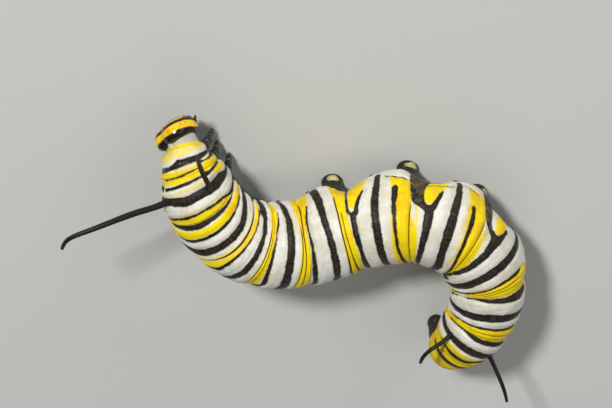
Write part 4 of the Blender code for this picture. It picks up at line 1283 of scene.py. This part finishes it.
def hook_points(at, sign, rings):
    """Small hooks under the inner edge of a sole: each bows down from the sole and back up to its point."""
    count, first, last, length, radius = HOOKS
    middle, outward, along = limb_frame(at, sign)
    _, way_out, wide, long, _ = rings[0]
    tubes = []
    for turn in np.radians(np.linspace(first, last, count)):
        away = math.cos(turn) * outward + math.sin(turn) * along
        root = middle + outward * (way_out + wide * HOOK_STAND * math.cos(turn))
        root = root + along * long * HOOK_STAND * math.sin(turn)
        path = [
            (*(root + away * length * out + (0, 0, height)), radius * size) for out, height, size in HOOK_PATH
        ]
        tubes.append(line_points(path, *HOOK_GRID))
    return np.array(tubes)


class LARVA_OT_limbs(bpy.types.Operator):
    """Makes the prolegs with their hooks, and the true legs."""

    bl_idname = "larva.limbs"
    bl_label = "Legs"

    def execute(self, context):
        colours = context.scene.larva_colours
        leather = foot_surface(colours)
        glossy = leg_surface(colours)
        horn = plain_surface("hook", colours)
        feet = [("proleg_%d" % number, at, PROLEG_RINGS) for number, at in PROLEGS.items()]
        feet.append(("anal_proleg", ANAL_AT, ANAL_RINGS))
        high, half, wide, behind = FOOT_PLATE
        turn = wrapped(turns(LIMB_SIDES) + math.radians(behind))[None]
        for name, at, rings in feet:
            for side, sign in BOTH:
                node = name + side
                points = limb_points(at, sign, rings, FOOT_FOLDS)
                mesh = tube_mesh(node + "_skin", points)
                away = np.hypot((points[..., 2] - high) / half, turn / math.radians(wide))
                set_values(mesh, plate_mm=(away - 1) * half if name != "anal_proleg" else away + FAR)
                add_piece(node + "_skin", mesh, leather, "black_cuticle", node)
                mesh = tube_mesh(node + "_hooks", hook_points(at, sign, rings))
                add_piece(node + "_hooks", mesh, horn, "glossy_cuticle")
        grooves = [(height, 1.0, half) for height, _, half in LEG_JOINTS]
        for number, (at, rings) in TRUE_LEGS.items():
            for side, sign in BOTH:
                node = "leg_%d%s" % (number, side)
                points = limb_points(at, sign, rings, LEG_JOINTS)
                mesh = tube_mesh(node + "_skin", points)
                set_values(mesh, joint=drawn_in(points[..., 2], grooves))
                add_piece(node + "_skin", mesh, glossy, "glossy_cuticle", node)
        return {"FINISHED"}


def line_points(path, rings, sides, wrinkle=0.0):
    """A tapering tube along a spline, with a rounded tip: circles across the line, turned with it so that
    they don't twist, and pinched a little in uneven rings."""
    path = np.asarray(path, float)
    reach = np.concatenate([[0.0], np.cumsum(np.linalg.norm(np.diff(path[:, :3], axis=0), axis=1))])
    tip = path[-1, 3]
    share = np.linspace(0.0, 1.0, rings)
    before = 1 - TIP_SHARE
    on_line = share / before * (1 - tip / reach[-1])
    on_tip = 1 - tip / reach[-1] * (1 - (share - before) / TIP_SHARE)
    at = reach[-1] * np.where(share < before, on_line, on_tip)
    fine = natural_spline(reach, path, at)
    into_tip = np.clip((at - reach[-1] + tip) / tip, 0, TIP_MOST)
    radius = fine[:, 3] * np.sqrt(1 - into_tip**2)
    pinch = 1.0
    for number, sway, often, start in WRINKLE_WAVES:
        pinch = pinch - wrinkle * np.sin(at * number + sway * np.sin(at * often) + start)
    radius = radius * pinch
    along = np.gradient(fine[:, :3], at, axis=0)
    along /= np.linalg.norm(along, axis=1)[:, None]
    across = np.empty_like(along)
    side = np.cross(along[0], (0.0, 0.0, 1.0))
    for i, way in enumerate(along):
        side = side - way * (side @ way)
        side = side / np.linalg.norm(side)
        across[i] = side
    other = np.cross(along, across)
    turn = turns(sides)[None, :, None]
    spoke = np.cos(turn) * across[:, None] + np.sin(turn) * other[:, None]
    return fine[:, None, :3] + radius[:, None, None] * spoke


class LARVA_OT_filaments(bpy.types.Operator):
    """Makes the four filaments."""

    bl_idname = "larva.filaments"
    bl_label = "Filaments"

    def execute(self, context):
        surface = plain_surface("filament cuticle", context.scene.larva_colours)
        for name, path in FILAMENTS.items():
            points = line_points(path, FILAMENT_RINGS, FILAMENT_SIDES, WRINKLE_SHARE)
            mesh = tube_mesh(name + "_skin", points)
            add_piece(name + "_skin", mesh, surface, "black_cuticle", name)
        return {"FINISHED"}


class LARVA_OT_pores(bpy.types.Operator):
    """Makes the breathing pores along both sides: oval rims that lie along the skin's slope, at the height of
    the finished skin's nearest point."""

    bl_idname = "larva.pores"
    bl_label = "Breathing pores"

    def execute(self, context):
        out_share, height = np.transpose(PORE_PROFILE)[:, :, None, None]
        turn = turns(PORE_SIDES)[None, :, None]
        vertices = bpy.data.objects["larva_skin"].data.vertices
        skin = np.empty(3 * len(vertices), np.float32)
        vertices.foreach_get("co", skin)
        skin = skin.reshape(-1, 3).astype(float) / MM - ROOT_AT
        pores = []
        for place in PORES:
            for sign in (-1, 1):
                angle = sign * math.radians(PORE_ANGLE)
                near = skin_points(np.array((place, place + PORE_STEP)), np.array((angle, angle + PORE_STEP)))
                at, along, around = near[0, 0], near[1, 0] - near[0, 0], near[0, 1] - near[0, 0]
                along /= np.linalg.norm(along)
                around -= along * (around @ along)
                around /= np.linalg.norm(around)
                out = np.cross(around, along)
                nearest = skin[np.argmin(np.linalg.norm(skin - at, axis=1))]
                pores.append(
                    at
                    + out_share * PORE_HALF[0] * np.cos(turn) * along
                    + out_share * PORE_HALF[1] * np.sin(turn) * around
                    + (height + (nearest - at) @ out) * out
                )
        surface = plain_surface("pore rim", context.scene.larva_colours)
        add_piece("breathing_pores", tube_mesh("breathing_pores", np.array(pores)), surface, "glossy_cuticle")
        return {"FINISHED"}


def stand(obj, right, back, at):
    """Puts a camera or a light at a place, with its own X and Z along the two directions."""
    matrix = np.eye(4)
    matrix[:3, :3] = np.stack([right, np.cross(back, right), back], axis=1)
    matrix[:3, 3] = at
    obj.matrix_world = Matrix(matrix.tolist())


class LARVA_OT_stage(bpy.types.Operator):
    """Makes the floor, the lights and the camera."""

    bl_idname = "larva.stage"
    bl_label = "Stage"

    def execute(self, context):
        scene = context.scene
        corners = [(x * FLOOR_HALF, y * FLOOR_HALF, 0) for x, y in ((-1, -1), (1, -1), (1, 1), (-1, 1))]
        mesh = bpy.data.meshes.new("floor")
        mesh.from_pydata(corners, [], [(0, 1, 2, 3)])
        mesh.materials.append(floor_surface(scene.larva_colours))
        floor = bpy.data.objects.new("floor", mesh)
        scene.collection.objects.link(floor)
        tilt = math.radians(CAMERA_ELEVATION)
        back = np.array((0.0, math.cos(tilt), math.sin(tilt)))
        right = np.array((1.0, 0.0, 0.0))
        data = bpy.data.cameras.new("camera")
        data.sensor_width = SENSOR_WIDTH
        data.lens = SENSOR_WIDTH * CAMERA_DISTANCE * PIXELS_PER_MM / PHOTO_WIDTH
        data.clip_start, data.clip_end = CAMERA_CLIP
        camera = bpy.data.objects.new("camera", data)
        scene.collection.objects.link(camera)
        stand(camera, right, back, (ROOT_AT + back * CAMERA_DISTANCE) * MM)
        scene.camera = camera
        for name, at, size, power in LIGHTS:
            data = bpy.data.lights.new(name, "AREA")
            data.shape = "DISK"
            data.size = size
            data.energy = power
            light = bpy.data.objects.new(name, data)
            scene.collection.objects.link(light)
            back = np.array(at) / np.linalg.norm(at)
            right = np.cross((0.0, 0.0, 1.0), back)
            stand(light, right / np.linalg.norm(right), back, at)
        world = bpy.data.worlds.new("studio")
        world.use_nodes = True
        backdrop = world.node_tree.nodes["Background"].inputs
        backdrop["Color"].default_value = STUDIO_COLOUR
        backdrop["Strength"].default_value = STUDIO_STRENGTH
        scene.world = world
        scene.view_settings.view_transform = "Standard"
        return {"FINISHED"}


class LARVA_PT_panel(bpy.types.Panel):
    """Lists the larva's pieces, sizes and colours."""

    bl_idname = "LARVA_PT_panel"
    bl_label = "Monarch Larva"
    bl_space_type = "VIEW_3D"
    bl_region_type = "UI"
    bl_category = "Larva"

    def draw(self, context):
        for operator in OPERATORS:
            self.layout.operator(operator.bl_idname)
        for group in (context.scene.larva_sizes, context.scene.larva_colours):
            for name in group.__annotations__:
                self.layout.prop(group, name)


OPERATORS = (LARVA_OT_skin, LARVA_OT_pores, LARVA_OT_head, LARVA_OT_limbs, LARVA_OT_filaments, LARVA_OT_stage)
CLASSES = (LarvaColours, LarvaSizes, *OPERATORS, LARVA_PT_panel)


def register():
    for each in CLASSES:
        bpy.utils.register_class(each)
    bpy.types.Scene.larva_colours = PointerProperty(type=LarvaColours)
    bpy.types.Scene.larva_sizes = PointerProperty(type=LarvaSizes)


def unregister():
    del bpy.types.Scene.larva_colours
    del bpy.types.Scene.larva_sizes
    for each in reversed(CLASSES):
        bpy.utils.unregister_class(each)


def main():
    register()
    bpy.ops.larva.skin()
    bpy.ops.larva.pores()
    bpy.ops.larva.head()
    bpy.ops.larva.limbs()
    bpy.ops.larva.filaments()
    bpy.ops.larva.stage()


if __name__ == "__main__":
    main()
